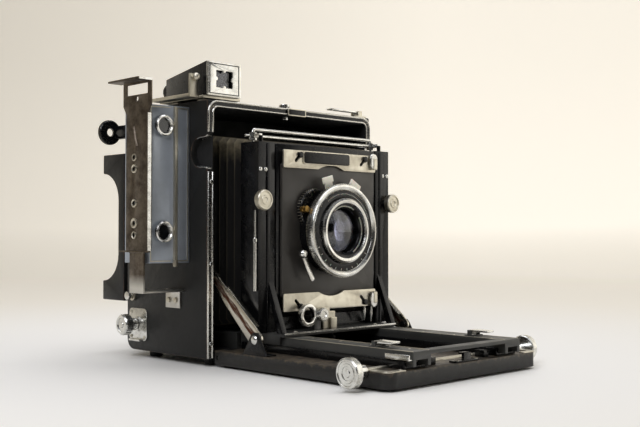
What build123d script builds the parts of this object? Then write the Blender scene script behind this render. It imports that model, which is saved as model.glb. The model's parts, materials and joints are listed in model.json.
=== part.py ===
from build123d import *
import os
from math import atan2, cos, degrees, hypot, pi, radians, sin

# Folding press camera for 4 x 5 inch film, opened for use.
# Origin: mouth of the tripod socket, middle of the body's underside. +Z up, the lens looks along -Y,
# and X is the camera's width. All sizes are in millimetres.

# ---- body box ----
BODY_W = 180.0
BODY_D = 106.0
BODY_H = 196.0
WALL = 5.5
REAR_R = 9.0
TRIM_W = 5.5
TRIM_T = 1.2
TRIM_R = 6.0
NOTCH_R = 11.5
NOTCH_DEPTH = 20.0
FOOT_H = 5.5
FOOT_R = 6.0
SOCKET_R = 3.175
SOCKET_LEN = 5.0
BUSH_R = 7.0

# ---- drop bed ----
BED_W = BODY_W - 12.0
BED_L = BODY_H - 20.0
BED_T = 10.5
BED_TOP = 6.9
BED_CORNER_R = 9.0
BED_GAP = 2.0
DROP_ANGLE = 15.0
HINGE_R = 1.5
HINGE_Z = 1.6
HINGE_SETBACK = 5.3
LUG_R = 3.0
LUG_W = 12.0
LUG_SPACING = 68.0

# ---- focusing rails, rack and pinion ----
RAIL_IN = 42.0
RAIL_W = 18.0
RAIL_H = 9.6
TRACK_T = 1.6
TRACK_LIP = 2.4
TRACK_LIP_H = 4.0
RAIL_REACH = BED_L - 4.0
RAIL_TRAVEL = 45.0
YOKE_W = 9.0
TOOTH_COUNT = 10
MODULE = 0.9
RACK_W = 6.0
SHAFT_R = 2.0
SHAFT_FROM_TIP = 21.0
KNOB_R = 10.06
KNOB_T = 6.0
KNOB_STANDOFF = 10.0

# ---- front standard ----
STANDARD_Y = -91.0
UPRIGHT_IN = 56.0
UPRIGHT_OUT = 72.0
UPRIGHT_TOP = 163.0
UPRIGHT_T = 3.0
FLANGE_D = 20.0
BASE_HALF_W = RAIL_IN + RAIL_W + 2.5
BASE_FRONT = -108.0
BASE_REAR = -64.0
BASE_T = 2.4
PANEL_HALF_W = 54.5
PANEL_LOW = 37.0
PANEL_HIGH = 162.5
PANEL_T = 4.0
BOARD_SIZE = 101.6
BOARD_T = 2.5
LENS_Z = 97.0
CLIP_W = 101.8
CLIP_H = 13.5
CLIP_T = 1.6
WIRE_R = 1.25
WIRE_X = 65.5
WIRE_Y = -77.0
WIRE_TOP = 173.0
WIRE_LOW = 72.0
CROSSBAR_Z = 168.0
RISE_KNOB_R = 7.6
RISE_KNOB_Z = 119.5

# ---- lens and leaf shutter ----
CASE_R = 33.0
CASE_T = 11.0
RING_R = 36.3
RING_T = 6.0
RING_BORE = 25.6
BARREL_R = 25.2
BARREL_FRONT = -113.0
BARREL_BORE = 19.0
REAR_CELL_R = 19.0
REAR_CELL_Y = -77.0
GLASS_R = 17.0

# ---- back, shutter and bellows ----
FRAME_T = 8.0
FRAME_HALF_W = BODY_W / 2 - 10.0
BACK_HALF_W = BODY_W / 2 - 2.0
BACK_DEEP = 40.0
BACK_WAIST = 17.0
BACK_LIP = 16.0
FILM_W = 121.0
FILM_H = 96.0
BACK_MID_Z = BODY_H / 2 + 2.0
BACK_LOW = BACK_MID_Z - FILM_H / 2 - 13.5
BACK_HIGH = BACK_MID_Z + FILM_H / 2 + 13.5
PLATE_Y = 12.0
PLATE_T = 2.0
ROLLER_R = 6.0
ROLLER_Y = 36.0
ROLLER_LOW_Z = 21.5
ROLLER_HIGH_Z = BODY_H - 20.0
ROLLER_HALF_L = BODY_W / 2 - 14.0
BELLOWS_FRONT = (52.0, 34.0, 160.0)
BELLOWS_REAR = (BODY_W / 2 - 14.0, 22.0, BODY_H - 24.0)
BELLOWS_T = 2.0

# ---- range finder and flash bracket on the left wall ----
RF_W = 34.0
RF_FLAT = 12.0
RF_CANT = 4.0
RF_FRONT = -31.0
RF_DEPTH = 36.0
RF_LOW = 72.5
RF_HIGH = BODY_H - 4.5
RF_WALL = 2.0
WINDOW_R = 5.2
BEZEL_R = 8.0
WINDOW_INSET = 15.5
EYE_PORT_R = 5.5
EYE_DISC_R = 9.8
EYE_DISC_T = 3.5
EYE_HOLE_R = 3.2
EYE_REAR = 51.0
EYE_OUT = 20.0
EYE_ARM_OUT = 16.1
EYE_ARM_W = 5.0
EYE_ARM_H = 10.6
STRIP_T = 1.5
STRIP_X = -BODY_W / 2 - RF_W - 3.0
STRIP_W = 28.0
STRIP_LOW = 82.0
STRIP_NECK = RF_HIGH - 0.5
STRIP_TOP = STRIP_NECK + 17.5
HEAD_W = 36.0
FOOT_STRIP_W = 18.0
FOOT_STRIP_Z = 51.5
STRIP_HOLE_R = 2.0
STRIP_HOLE_ZS = (152.0, 143.5, 117.5, 102.5, 93.5)
STRIP_HOLE_SET = 3.0

# ---- optical finder on top ----
FINDER_X = -BODY_W / 2 + 17.5
FINDER_W = 33.0
FINDER_H = 26.0
FINDER_FRONT = -52.0
FINDER_LEN = 64.0
FINDER_BASE_T = 2.0
FINDER_LIFT = 1.6
FINDER_EYE_R = 7.2
FINDER_WALL = 1.6
MASK_T = 1.2
LENS_GAP = 0.7

RUN_FIT = 0.06
SLIDE_FIT = 0.35
SEAT = 0.05

FRONT = -BODY_D / 2
REAR = BODY_D / 2
HALF_W = BODY_W / 2
INNER_HALF = HALF_W - WALL
HINGE_Y = FRONT - HINGE_SETBACK
BED_REAR = FRONT - BED_GAP
BED_FRONT = FRONT - BED_L
SHAFT_Y = BED_FRONT + SHAFT_FROM_TIP
RAIL_LOW = BED_TOP + TRACK_T + SLIDE_FIT
SHAFT_Z = RAIL_LOW - 0.25 - SHAFT_R
PITCH_R = MODULE * TOOTH_COUNT / 2
RACK_LINE = SHAFT_Z + PITCH_R
NOTCH_Z = SHAFT_Z + (HINGE_Y - SHAFT_Y)
RAIL_TOP = RAIL_LOW + RAIL_H
RAIL_REAR = FRONT - 4.0
RAIL_FRONT = RAIL_REAR - RAIL_REACH
RAIL_OUT = RAIL_IN + RAIL_W
BASE_LOW = RAIL_TOP + SLIDE_FIT
BASE_TOP = BASE_LOW + BASE_T
BOARD_FRONT = STANDARD_Y - BOARD_T
CLIP_REAR = BOARD_FRONT - SLIDE_FIT
FRAME_REAR = REAR + FRAME_T
PANEL_FRONT_Y = FRAME_REAR + SLIDE_FIT
TRACK_IN = RAIL_IN - SLIDE_FIT
TRACK_OUT = RAIL_OUT + SLIDE_FIT

# Struts: each turns on an ear of the bed, and its slotted end slides on a fixed stud in the body.
EAR_Y = FRONT - 47.0
EAR_Z = 18.2
STUD_Y = FRONT + 3.0
STUD_Z = 61.2
STRUT_X = HALF_W - 10.0
STRUT_T = 1.5
STUD_R = 1.6
EAR_T = 1.6
EAR_X = STRUT_X + STRUT_T + 0.4

# Places that follow from the sizes above.
BUTTON_X = -3.0
BUTTON_Y = FRONT + 9.0
TRIGGER_Y = 44.0
TRIGGER_Z = 44.0
FOOT_TAB_Y = FRONT + 41.0
FOOT_TAB_Z = 43.0
GLASS_HALF_W = FILM_W / 2 + 3
GLASS_HALF_H = FILM_H / 2 + 3
COVER_HALF_W = FILM_W / 2 + 3
COVER_T = 2.0
COVER_Y = REAR + BACK_WAIST - 2.6
COVER_HINGE_Z = BACK_MID_Z + FILM_H / 2 - 3.0
RF_OUT = -HALF_W - RF_W
RF_REAR = RF_FRONT + RF_DEPTH
WINDOW_X = -HALF_W - (RF_FLAT + RF_W) / 2
WINDOW_ZS = (RF_LOW + WINDOW_INSET + 8, RF_HIGH - WINDOW_INSET)
FINDER_LOW = BODY_H + FINDER_LIFT + FINDER_BASE_T
FINDER_REAR = FINDER_FRONT + MASK_T + FINDER_LEN
FINDER_EYE_Z = FINDER_LOW + 9.5
SIGHT_X = HALF_W - 10.0
SIGHT_Y = FRONT + 6.0
SIGHT_Z = BODY_H + 3.2
STRAP_Y = 4.0
STRAP_HALF = 62.0
STRAP_W = 24.0
STRAP_T = 3.0
RACK_MID = RAIL_IN + RAIL_W / 2
RACK_BACK = RACK_LINE + 2.0
STOP_Y = RAIL_FRONT + 36.0
STOP_Z = RAIL_TOP + 2.9
TRACK_CLEAR = BED_TOP + TRACK_T + TRACK_LIP_H + 0.4
LOCK_X = -19.0
LOCK_Y = STANDARD_Y - 9.0
LOCK_Z = 33.0
CLIP_Z = BOARD_SIZE / 2 + 3.4
SLOT_X = 36.0
SLOT_HALF = 3.2
SLOT_RAISE = 1.2
CASE_REAR = BOARD_FRONT
CASE_FRONT = CASE_REAR - CASE_T
RING_REAR = CASE_FRONT - 0.3
RING_FRONT = RING_REAR - RING_T
LEVER_Y = (CASE_REAR - 8.4, CASE_REAR - 6.8)
LEVER_BORE = 26.0


def block(x, y, z):
    """A box from the low to the high corner of three ranges."""
    centre = Pos((x[0] + x[1]) / 2, (y[0] + y[1]) / 2, (z[0] + z[1]) / 2)
    return centre * Box(x[1] - x[0], y[1] - y[0], z[1] - z[0])


def rod_x(radius, x, y, z):
    return Pos((x[0] + x[1]) / 2, y, z) * Rot(0, 90, 0) * Cylinder(radius, x[1] - x[0])


def rod_y(radius, x, y, z):
    return Pos(x, (y[0] + y[1]) / 2, z) * Rot(90, 0, 0) * Cylinder(radius, y[1] - y[0])


def rod_z(radius, x, y, z):
    return Pos(x, y, (z[0] + z[1]) / 2) * Cylinder(radius, z[1] - z[0])


def both_sides(part):
    """The piece and its mirror image across the middle of the camera."""
    return [part, mirror(part, about=Plane.YZ)]


def side_profile(points, x):
    """A flat outline given as (y, z) points, as thick as the x range."""
    wire = Polyline(*[(0, y, z) for y, z in points], close=True)
    return Pos(x[0], 0, 0) * extrude(make_face(wire), x[1] - x[0], dir=(1, 0, 0))


def front_profile(sketch, y):
    """A sketch drawn in (x, z), as deep as the y range."""
    return extrude(Plane.XZ.offset(-y[0]) * sketch, y[1] - y[0], dir=(0, 1, 0))


def save(name, *parts):
    solids = [solid for part in parts for solid in part.solids()]
    shape = solids[0] if len(solids) == 1 else Compound(solids)
    export_step(shape, f"parts/{name}.step")


# ---------------------------------------------------------------- body

def body_shell():
    box = block((-HALF_W, HALF_W), (FRONT, REAR), (0, BODY_H))
    rear_edges = box.edges().filter_by(Axis.X).group_by(Axis.Y)[-1]
    box = fillet(rear_edges, REAR_R)
    box -= block((-INNER_HALF, INNER_HALF), (FRONT - 1, REAR + 1), (WALL, BODY_H - WALL))
    notch_y = FRONT + NOTCH_DEPTH - NOTCH_R
    across = (-HALF_W - 1, HALF_W + 1)
    box -= rod_x(NOTCH_R, across, notch_y, NOTCH_Z)
    box -= block(across, (FRONT - 1, notch_y), (NOTCH_Z - NOTCH_R, NOTCH_Z + NOTCH_R))
    box -= rod_z(BUSH_R, 0, 0, (-1, WALL + 1))
    box -= rod_x(3.0, (-HALF_W - 1, -INNER_HALF + 1), ROLLER_Y, ROLLER_LOW_Z)
    box -= rod_z(3.2, BUTTON_X, BUTTON_Y, (BODY_H - WALL - 1, BODY_H + 1))
    return box


def front_trim():
    outline = Pos(0, BODY_H / 2) * RectangleRounded(BODY_W, BODY_H, TRIM_R / 2)
    hole_h = BODY_H - TRIM_W
    opening = Pos(0, (hole_h - TRIM_R) / 2) * Rectangle(BODY_W - 2 * TRIM_W, hole_h + TRIM_R)
    opening = fillet(opening.vertices().sort_by(Axis.Y)[-2:], TRIM_R)
    frame = front_profile(outline - opening, (FRONT - TRIM_T, FRONT))
    cut_z = (NOTCH_Z - NOTCH_R, NOTCH_Z + NOTCH_R)
    return frame - block((-HALF_W - 1, HALF_W + 1), (FRONT - TRIM_T - 1, FRONT + 1), cut_z)


def body_feet():
    foot = Pos(0, 0, -FOOT_H / 2) * Cone(FOOT_R - 1.0, FOOT_R, FOOT_H)
    return [Pos(x, y, 0) * foot for x in (-76, 76) for y in (FRONT + 12, REAR - 22)]


def tripod_bush():
    bush = rod_z(BUSH_R, 0, 0, (0, WALL)) + rod_z(BUSH_R + 3, 0, 0, (WALL, WALL + 2))
    return bush - rod_z(SOCKET_R, 0, 0, (-1, SOCKET_LEN))


def inner_track():
    low = (WALL, BASE_LOW - SLIDE_FIT)
    rail = block((RAIL_IN, RAIL_OUT), (FRONT + 1, PLATE_Y - 1), (low[0], low[1]))
    rail -= block((RAIL_IN + 4, RAIL_OUT - 4), (FRONT, PLATE_Y), (low[0] + 2, low[1] - 2))
    return both_sides(rail)


def shutter_plate():
    edge = INNER_HALF - SEAT
    plate = block((-edge, edge), (PLATE_Y, PLATE_Y + PLATE_T), (WALL + SEAT, BODY_H - WALL - SEAT))
    middle = (BACK_LOW + BACK_HIGH) / 2
    gap_z = (middle - FILM_H / 2, middle + FILM_H / 2)
    return plate - block((-FILM_W / 2, FILM_W / 2), (PLATE_Y - 1, PLATE_Y + 3), gap_z)


def roller(z):
    barrel = rod_x(ROLLER_R, (-ROLLER_HALF_L, ROLLER_HALF_L), ROLLER_Y, z)
    return barrel + rod_x(2.0, (-ROLLER_HALF_L - 6, ROLLER_HALF_L + 6), ROLLER_Y, z)


def winding_roller():
    return roller(ROLLER_LOW_Z) + rod_x(2.6, (-HALF_W - 3.4, -ROLLER_HALF_L - 1), ROLLER_Y, ROLLER_LOW_Z)


def winding_key():
    neck = rod_x(5.0, (-HALF_W - 9.5, -HALF_W - 3.4), ROLLER_Y, ROLLER_LOW_Z)
    knob = rod_x(8.4, (-HALF_W - 17.0, -HALF_W - 9.5), ROLLER_Y, ROLLER_LOW_Z)
    knob = chamfer(knob.edges().filter_by(GeomType.CIRCLE), 0.8)
    for turn in range(0, 360, 20):
        groove = Rot(turn, 0, 0) * Pos(-HALF_W - 13.2, 0, 8.4) * Box(5.4, 0.9, 1.0)
        knob -= Pos(0, ROLLER_Y, ROLLER_LOW_Z) * groove
    return neck + knob


def shutter_curtain():
    y = ROLLER_Y - ROLLER_R - 0.7
    half = ROLLER_HALF_L - 4
    return block((-half, half), (y, y + 0.4), (ROLLER_LOW_Z, ROLLER_HIGH_Z))


def winding_plate():
    wall = -HALF_W
    plate = block((wall - 1.0, wall), (23.5, 48.0), (8.0, 34.0))
    plate = fillet(plate.edges().filter_by(Axis.X), 4.0)
    lip = block((wall - 5.0, wall - 1.0), (28.0, 43.0), (7.9, 9.4))
    boss = rod_x(6.0, (wall - 2.8, wall - 1.0), ROLLER_Y, ROLLER_LOW_Z)
    plate = plate + lip + boss
    return plate - rod_x(2.6 + RUN_FIT, (wall - 4, wall + 1), ROLLER_Y, ROLLER_LOW_Z)


def shutter_trigger():
    stem = rod_x(2.0, (-HALF_W - 4.0, -HALF_W - 1.6), TRIGGER_Y, TRIGGER_Z)
    cap = rod_x(3.4, (-HALF_W - 6.5, -HALF_W - 4.0), TRIGGER_Y, TRIGGER_Z)
    return stem + cap


def side_hardware():
    """Small hardware fixed to the walls: bracket screws, the trigger's collar and the strut studs."""
    wall = -HALF_W
    tab_y = FOOT_TAB_Y
    screws = [rod_x(2.2, (wall - STRIP_T - 1.2, wall - STRIP_T), tab_y + dy, FOOT_TAB_Z) for dy in (-4, 5)]
    collar = rod_x(4.2, (wall - 1.5, wall), TRIGGER_Y, TRIGGER_Z)
    collar -= rod_x(2.3, (wall - 2, wall + 1), TRIGGER_Y, TRIGGER_Z)
    stud = rod_x(STUD_R, (STRUT_X - 0.6, INNER_HALF), STUD_Y, STUD_Z)
    stud += rod_x(3.4, (STRUT_X - 2.0, STRUT_X - 0.6), STUD_Y, STUD_Z)
    return screws + [collar] + both_sides(stud)


# ---------------------------------------------------------------- back

def back_frame():
    frame = block((-FRAME_HALF_W, FRAME_HALF_W), (REAR, FRAME_REAR), (BACK_LOW - 6, BACK_HIGH + 6))
    frame = fillet(frame.edges().filter_by(Axis.Y), 4.0)
    middle = (BACK_LOW + BACK_HIGH) / 2
    gap_z = (middle - FILM_H / 2, middle + FILM_H / 2)
    frame -= block((-FILM_W / 2, FILM_W / 2), (REAR - 1, FRAME_REAR + 1), gap_z)
    fill = INNER_HALF - SEAT
    seat = block((-fill, fill), (REAR - 6, REAR), (WALL + SEAT, BODY_H - WALL - SEAT))
    seat -= block((-FILM_W / 2 - 8, FILM_W / 2 + 8), (REAR - 7, REAR + 1), (gap_z[0] - 8, gap_z[1] + 8))
    return frame + seat


def back_outline():
    """Side view of the focusing back: deep lips at top and bottom, joined by a coved waist."""
    deep = REAR + BACK_DEEP
    waist = REAR + BACK_WAIST
    cove = deep - waist
    steps = 8
    points = [(PANEL_FRONT_Y, BACK_LOW), (deep, BACK_LOW), (deep, BACK_LOW + BACK_LIP)]
    for step in range(1, steps + 1):
        turn = radians(90 * step / steps)
        points.append((deep - cove * sin(turn), BACK_LOW + BACK_LIP + cove * (1 - cos(turn))))
    for step in range(steps, 0, -1):
        turn = radians(90 * step / steps)
        points.append((deep - cove * sin(turn), BACK_HIGH - BACK_LIP - cove * (1 - cos(turn))))
    points += [(deep, BACK_HIGH - BACK_LIP), (deep, BACK_HIGH), (PANEL_FRONT_Y, BACK_HIGH)]
    return points


def focusing_back():
    panel = side_profile(back_outline(), (-BACK_HALF_W, BACK_HALF_W))
    waist = REAR + BACK_WAIST
    rebate = (BACK_MID_Z - GLASS_HALF_H - SEAT, BACK_MID_Z + GLASS_HALF_H + SEAT)
    reach = GLASS_HALF_W + SEAT
    panel -= block((-reach, reach), (PANEL_FRONT_Y - 1, PANEL_FRONT_Y + 3), rebate)
    view = (BACK_MID_Z - FILM_H / 2, BACK_MID_Z + FILM_H / 2)
    panel -= block((-FILM_W / 2, FILM_W / 2), (PANEL_FRONT_Y, waist + BACK_DEEP), view)
    wide = FILM_W / 2 + 4
    panel -= block((-wide, wide), (waist - 4, waist + BACK_DEEP), (view[0], view[1]))
    return panel


def ground_glass():
    y = (PANEL_FRONT_Y + 0.9, PANEL_FRONT_Y + 3)
    z = (BACK_MID_Z - GLASS_HALF_H, BACK_MID_Z + GLASS_HALF_H)
    return block((-GLASS_HALF_W, GLASS_HALF_W), y, z)


def hood_cover():
    low = BACK_MID_Z - FILM_H / 2 + SLIDE_FIT
    leaf = block((-COVER_HALF_W, COVER_HALF_W), (COVER_Y, COVER_Y + COVER_T), (low, COVER_HINGE_Z - 1.2))
    eye_y = COVER_Y + COVER_T / 2
    barrel = rod_x(1.9, (-COVER_HALF_W + 12, COVER_HALF_W - 12), eye_y, COVER_HINGE_Z)
    pull = block((-9, 9), (COVER_Y + COVER_T, COVER_Y + COVER_T + 2.2), (low + 4, low + 8))
    return leaf + barrel + pull - rod_x(0.9 + RUN_FIT, (-90, 90), eye_y, COVER_HINGE_Z)


def cover_pin():
    eye_y = COVER_Y + COVER_T / 2
    return rod_x(0.9, (-FILM_W / 2 - 4, FILM_W / 2 + 4), eye_y, COVER_HINGE_Z)


def back_springs():
    """A leaf spring on each side of the hood, screwed down at its middle and bowed to both ends."""
    waist = REAR + BACK_WAIST
    half = (BACK_HIGH - BACK_LOW) / 2 - BACK_LIP - (BACK_DEEP - BACK_WAIST) - 1.0
    x = (FILM_W / 2 + 9, FILM_W / 2 + 19)
    lower = [(waist + 2.4 * abs(1 - s / 4) ** 2, BACK_MID_Z - half + half * s / 4) for s in range(9)]
    outer = [(y + 0.8, z) for y, z in reversed(lower)]
    return both_sides(side_profile(lower + outer, x))


# ---------------------------------------------------------------- range finder and flash bracket

def range_outline(inset):
    """Plan of the housing: a flat strip beside the body, then a slightly canted window face."""
    x_wall = -HALF_W - inset
    x_ridge = -HALF_W - RF_FLAT
    x_out = RF_OUT + inset
    return [(x_wall, RF_FRONT + inset), (x_ridge, RF_FRONT + inset), (x_out, RF_FRONT + RF_CANT + inset),
            (x_out, RF_REAR - inset), (x_wall, RF_REAR - inset)]


def range_block(inset):
    face = make_face(Polyline(*range_outline(inset), close=True))
    return Pos(0, 0, RF_LOW + inset) * extrude(face, RF_HIGH - RF_LOW - 2 * inset, dir=(0, 0, 1))


def range_finder_housing():
    shell = range_block(0) - range_block(RF_WALL)
    for z in WINDOW_ZS:
        shell -= rod_y(BEZEL_R - 1.5, WINDOW_X, (RF_FRONT - 1, RF_FRONT + 8), z)
    return shell - rod_y(EYE_PORT_R, WINDOW_X, (RF_REAR - 5, RF_REAR + 1), WINDOW_ZS[1])


def range_finder_bezels():
    rings = []
    for z in WINDOW_ZS:
        ring = rod_y(BEZEL_R, WINDOW_X, (RF_FRONT - 1.6, RF_FRONT - 0.1), z)
        ring += rod_y(BEZEL_R - 1.5, WINDOW_X, (RF_FRONT - 0.1, RF_FRONT + 7), z)
        rings.append(ring - rod_y(WINDOW_R, WINDOW_X, (RF_FRONT - 3, RF_FRONT + 9), z))
    return rings


def range_finder_eyepiece():
    """An eye disc held behind the housing on a flat arm."""
    z = WINDOW_ZS[1] + 0.5
    eye_x = -HALF_W - EYE_OUT
    arm_x = (-HALF_W - EYE_ARM_OUT, -HALF_W - EYE_ARM_OUT + EYE_ARM_W)
    disc = rod_y(EYE_DISC_R, eye_x, (EYE_REAR - EYE_DISC_T, EYE_REAR), z)
    arm = block(arm_x, (RF_REAR, EYE_REAR - 0.6), (z - EYE_ARM_H / 2, z + EYE_ARM_H / 2))
    return disc + arm - rod_y(EYE_HOLE_R, eye_x, (EYE_REAR - EYE_DISC_T - 1, EYE_REAR + 1), z)


def small_glasses():
    """The clear pieces of both finders: two range windows, the finder's front lens and its eye lens."""
    panes = [rod_y(WINDOW_R - SEAT, WINDOW_X, (RF_FRONT + 1.4, RF_FRONT + 3), z) for z in WINDOW_ZS]
    y0 = FINDER_FRONT + MASK_T + 1.4
    half = FINDER_W / 2 - FINDER_WALL - LENS_GAP
    low = FINDER_LOW + FINDER_WALL + SEAT
    high = FINDER_LOW + FINDER_H - FINDER_WALL - LENS_GAP
    front = block((FINDER_X - half, FINDER_X + half), (y0, y0 + 2), (low, high))
    eye = rod_y(FINDER_EYE_R - 1.8 - SEAT, FINDER_X, (FINDER_REAR + 1, FINDER_REAR + 2.6), FINDER_EYE_Z)
    return panes + [front, eye]


def flash_bracket():
    x = (STRIP_X - STRIP_T, STRIP_X)
    mid = FRONT + 36.0
    half = STRIP_W / 2
    wide = HEAD_W / 2
    narrow = FOOT_STRIP_W / 2
    outline = [(mid - narrow, FOOT_STRIP_Z), (mid + narrow, FOOT_STRIP_Z), (mid + narrow, STRIP_LOW - 2),
               (mid + half, STRIP_LOW), (mid + half, STRIP_NECK - 6), (mid + wide, STRIP_NECK),
               (mid + wide, STRIP_TOP), (mid - wide, STRIP_TOP), (mid - wide, STRIP_NECK),
               (mid - half, STRIP_NECK - 6), (mid - half, STRIP_LOW), (mid - narrow, STRIP_LOW - 2)]
    strip = side_profile(outline, x)
    window = (STRIP_TOP - 9.5, STRIP_TOP - 1.5)
    strip -= block((STRIP_X - 3, STRIP_X + 2), (mid - wide + 4, mid + wide - 4), window)
    through = (STRIP_X - 3, STRIP_X + 2)
    strip -= rod_x(STRIP_HOLE_R, through, mid, STRIP_NECK + 5)
    for z in STRIP_HOLE_ZS:
        strip -= rod_x(STRIP_HOLE_R, through, mid + STRIP_HOLE_SET, z)
    lip = block((STRIP_X - 12, STRIP_X), (mid - wide + 1, mid + wide + 5), (STRIP_TOP, STRIP_TOP + STRIP_T))
    shelf = block((STRIP_X - 8, STRIP_X - STRIP_T), (mid - wide, mid + half), (STRIP_LOW - 1.2, STRIP_LOW))
    flange = block((STRIP_X, STRIP_X + 2.5), (mid - half, mid - half + STRIP_T), (STRIP_LOW, STRIP_NECK - 6))
    on_wall = (-HALF_W - STRIP_T, -HALF_W)
    level = (FOOT_STRIP_Z - STRIP_T, FOOT_STRIP_Z)
    arm = block((STRIP_X - STRIP_T, -HALF_W), (mid - narrow, mid + narrow), level)
    arm += block(on_wall, (mid - narrow, FOOT_TAB_Y + 9), level)
    tab = block(on_wall, (FOOT_TAB_Y - 9, FOOT_TAB_Y + 9), (FOOT_TAB_Z - 6, FOOT_STRIP_Z))
    spacer_y = (mid - 8, mid + 3)
    spacer = block((STRIP_X, RF_OUT), spacer_y, (STRIP_NECK - 11, STRIP_NECK - 5))
    spacer += block((STRIP_X, RF_OUT), spacer_y, (STRIP_LOW + 8, STRIP_LOW + 14))
    return strip + lip + shelf + flange + arm + tab + spacer


# ---------------------------------------------------------------- optical finder and top fittings

def finder_base():
    half = FINDER_W / 2 + 1.5
    plate_z = (BODY_H + FINDER_LIFT, FINDER_LOW)
    plate = block((FINDER_X - half, FINDER_X + half), (FINDER_FRONT + 3, FINDER_REAR - 6), plate_z)
    for y in (FINDER_FRONT + 14, FINDER_REAR - 18):
        plate += block((FINDER_X - half + 6, FINDER_X + half - 2), (y - 4, y + 4), (BODY_H, plate_z[0]))
    wing_z = (FINDER_LOW + 1.0, FINDER_LOW + 2.2)
    edge = FINDER_X - half
    wing = block((edge - 9, edge + 1.5), (FINDER_FRONT + 8, FINDER_REAR - 8), (plate_z[0] + 0.4, wing_z[0]))
    tip = block((edge - 9, edge - 1.2), (FINDER_FRONT + 8, FINDER_FRONT + 9.4), (wing_z[0], wing_z[0] + 15))
    screw = Pos(edge - 4, FINDER_FRONT + 6.4, FINDER_LOW + 13.5) * Sphere(3.0)
    return plate + wing + tip + screw


def finder_section(y, half_w, low, high):
    return Plane.XZ.offset(-y) * Pos(FINDER_X, (low + high) / 2) * Rectangle(2 * half_w, high - low)


def finder_loft(inset, reach):
    front_half = FINDER_W / 2 - inset
    rear_half = FINDER_EYE_R - inset + 0.4
    y0 = FINDER_FRONT + MASK_T - reach
    y1 = FINDER_REAR + reach
    front = finder_section(y0, front_half, FINDER_LOW + inset, FINDER_LOW + FINDER_H - inset)
    rear_top = FINDER_LOW + 2 * (FINDER_EYE_Z - FINDER_LOW)
    back = finder_section(y1, rear_half, FINDER_LOW + inset, rear_top - inset)
    return loft([front, back])


def finder_housing():
    return finder_loft(0, 0) - finder_loft(FINDER_WALL, 0.5)


def finder_mask():
    z = FINDER_LOW + FINDER_H / 2
    plate = block((FINDER_X - FINDER_W / 2, FINDER_X + FINDER_W / 2), (FINDER_FRONT, FINDER_FRONT + MASK_T),
                  (FINDER_LOW, FINDER_LOW + FINDER_H))
    plate = fillet(plate.edges().filter_by(Axis.Y), 1.2)
    opening = block((FINDER_X - 8, FINDER_X + 8), (FINDER_FRONT - 1, FINDER_FRONT + 3), (z - 6.5, z + 6.5))
    for dx, dz in ((8, 0), (-8, 0), (0, 6.5), (0, -6.5)):
        opening -= rod_y(1.6, FINDER_X + dx, (FINDER_FRONT - 2, FINDER_FRONT + 4), z + dz)
    return plate - opening


def finder_eyepiece():
    ring = rod_y(FINDER_EYE_R, FINDER_X, (FINDER_REAR, FINDER_REAR + 5), FINDER_EYE_Z)
    return ring - rod_y(FINDER_EYE_R - 1.8, FINDER_X, (FINDER_REAR - 1, FINDER_REAR + 6), FINDER_EYE_Z)


def bed_button():
    cap = rod_z(4.6, BUTTON_X, BUTTON_Y, (BODY_H + 2.0, BODY_H + 4.2))
    return cap + rod_z(3.2 - 0.1, BUTTON_X, BUTTON_Y, (BODY_H - WALL - 3, BODY_H + 2.0))


def sight_base():
    base = block((SIGHT_X - 7, SIGHT_X + 7), (SIGHT_Y - 4.6, SIGHT_Y + 4.6), (BODY_H, BODY_H + 1.2))
    for y in (SIGHT_Y - 4.0, SIGHT_Y + 4.0):
        base += block((SIGHT_X - 2.4, SIGHT_X + 2.4), (y - 0.6, y + 0.6), (BODY_H + 1.2, SIGHT_Z + 2.2))
    return base + rod_y(0.8, SIGHT_X, (SIGHT_Y - 4.6, SIGHT_Y + 4.6), SIGHT_Z)


def peep_sight():
    eye = rod_y(1.7, SIGHT_X, (SIGHT_Y - 3.1, SIGHT_Y + 3.1), SIGHT_Z)
    arm = block((SIGHT_X - 34, SIGHT_X), (SIGHT_Y - 3.1, SIGHT_Y + 3.1), (SIGHT_Z + 0.8, SIGHT_Z + 2.0))
    eye = eye + arm - rod_y(0.8 + RUN_FIT, SIGHT_X, (SIGHT_Y - 5, SIGHT_Y + 5), SIGHT_Z)
    return eye - rod_z(1.4, SIGHT_X - 29, SIGHT_Y, (SIGHT_Z - 2, SIGHT_Z + 4))


def strap_lugs():
    lugs = []
    for side in (-1, 1):
        z = BODY_H / 2 + side * STRAP_HALF
        lug = block((HALF_W, HALF_W + 1.5), (STRAP_Y - 15, STRAP_Y + 15), (z - 8, z + 8))
        for y in (STRAP_Y - STRAP_W / 2 - 1.6, STRAP_Y + STRAP_W / 2 + 1.6):
            lug += block((HALF_W + 1.5, HALF_W + 7), (y - 1, y + 1), (z - 3, z + 3))
        lug += rod_y(1.2, HALF_W + 5.2, (STRAP_Y - STRAP_W / 2 - 2.6, STRAP_Y + STRAP_W / 2 + 2.6), z)
        lugs.append(lug)
    return lugs


def hand_strap():
    """Leather strap that stands off the wall in a low arch between its two lugs."""
    outer = []
    inner = []
    steps = 12
    reach = STRAP_HALF - 2.2
    for step in range(steps + 1):
        z = BODY_H / 2 - reach + 2 * reach * step / steps
        bow = HALF_W + 4.0 + 13.0 * sin(pi * step / steps) ** 0.7
        inner.append((bow, z))
        outer.append((bow + STRAP_T, z))
    wire = Polyline(*[(x, STRAP_Y - STRAP_W / 2, z) for x, z in inner + outer[::-1]], close=True)
    return extrude(make_face(wire), STRAP_W, dir=(0, 1, 0))


# ---------------------------------------------------------------- drop bed

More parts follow.
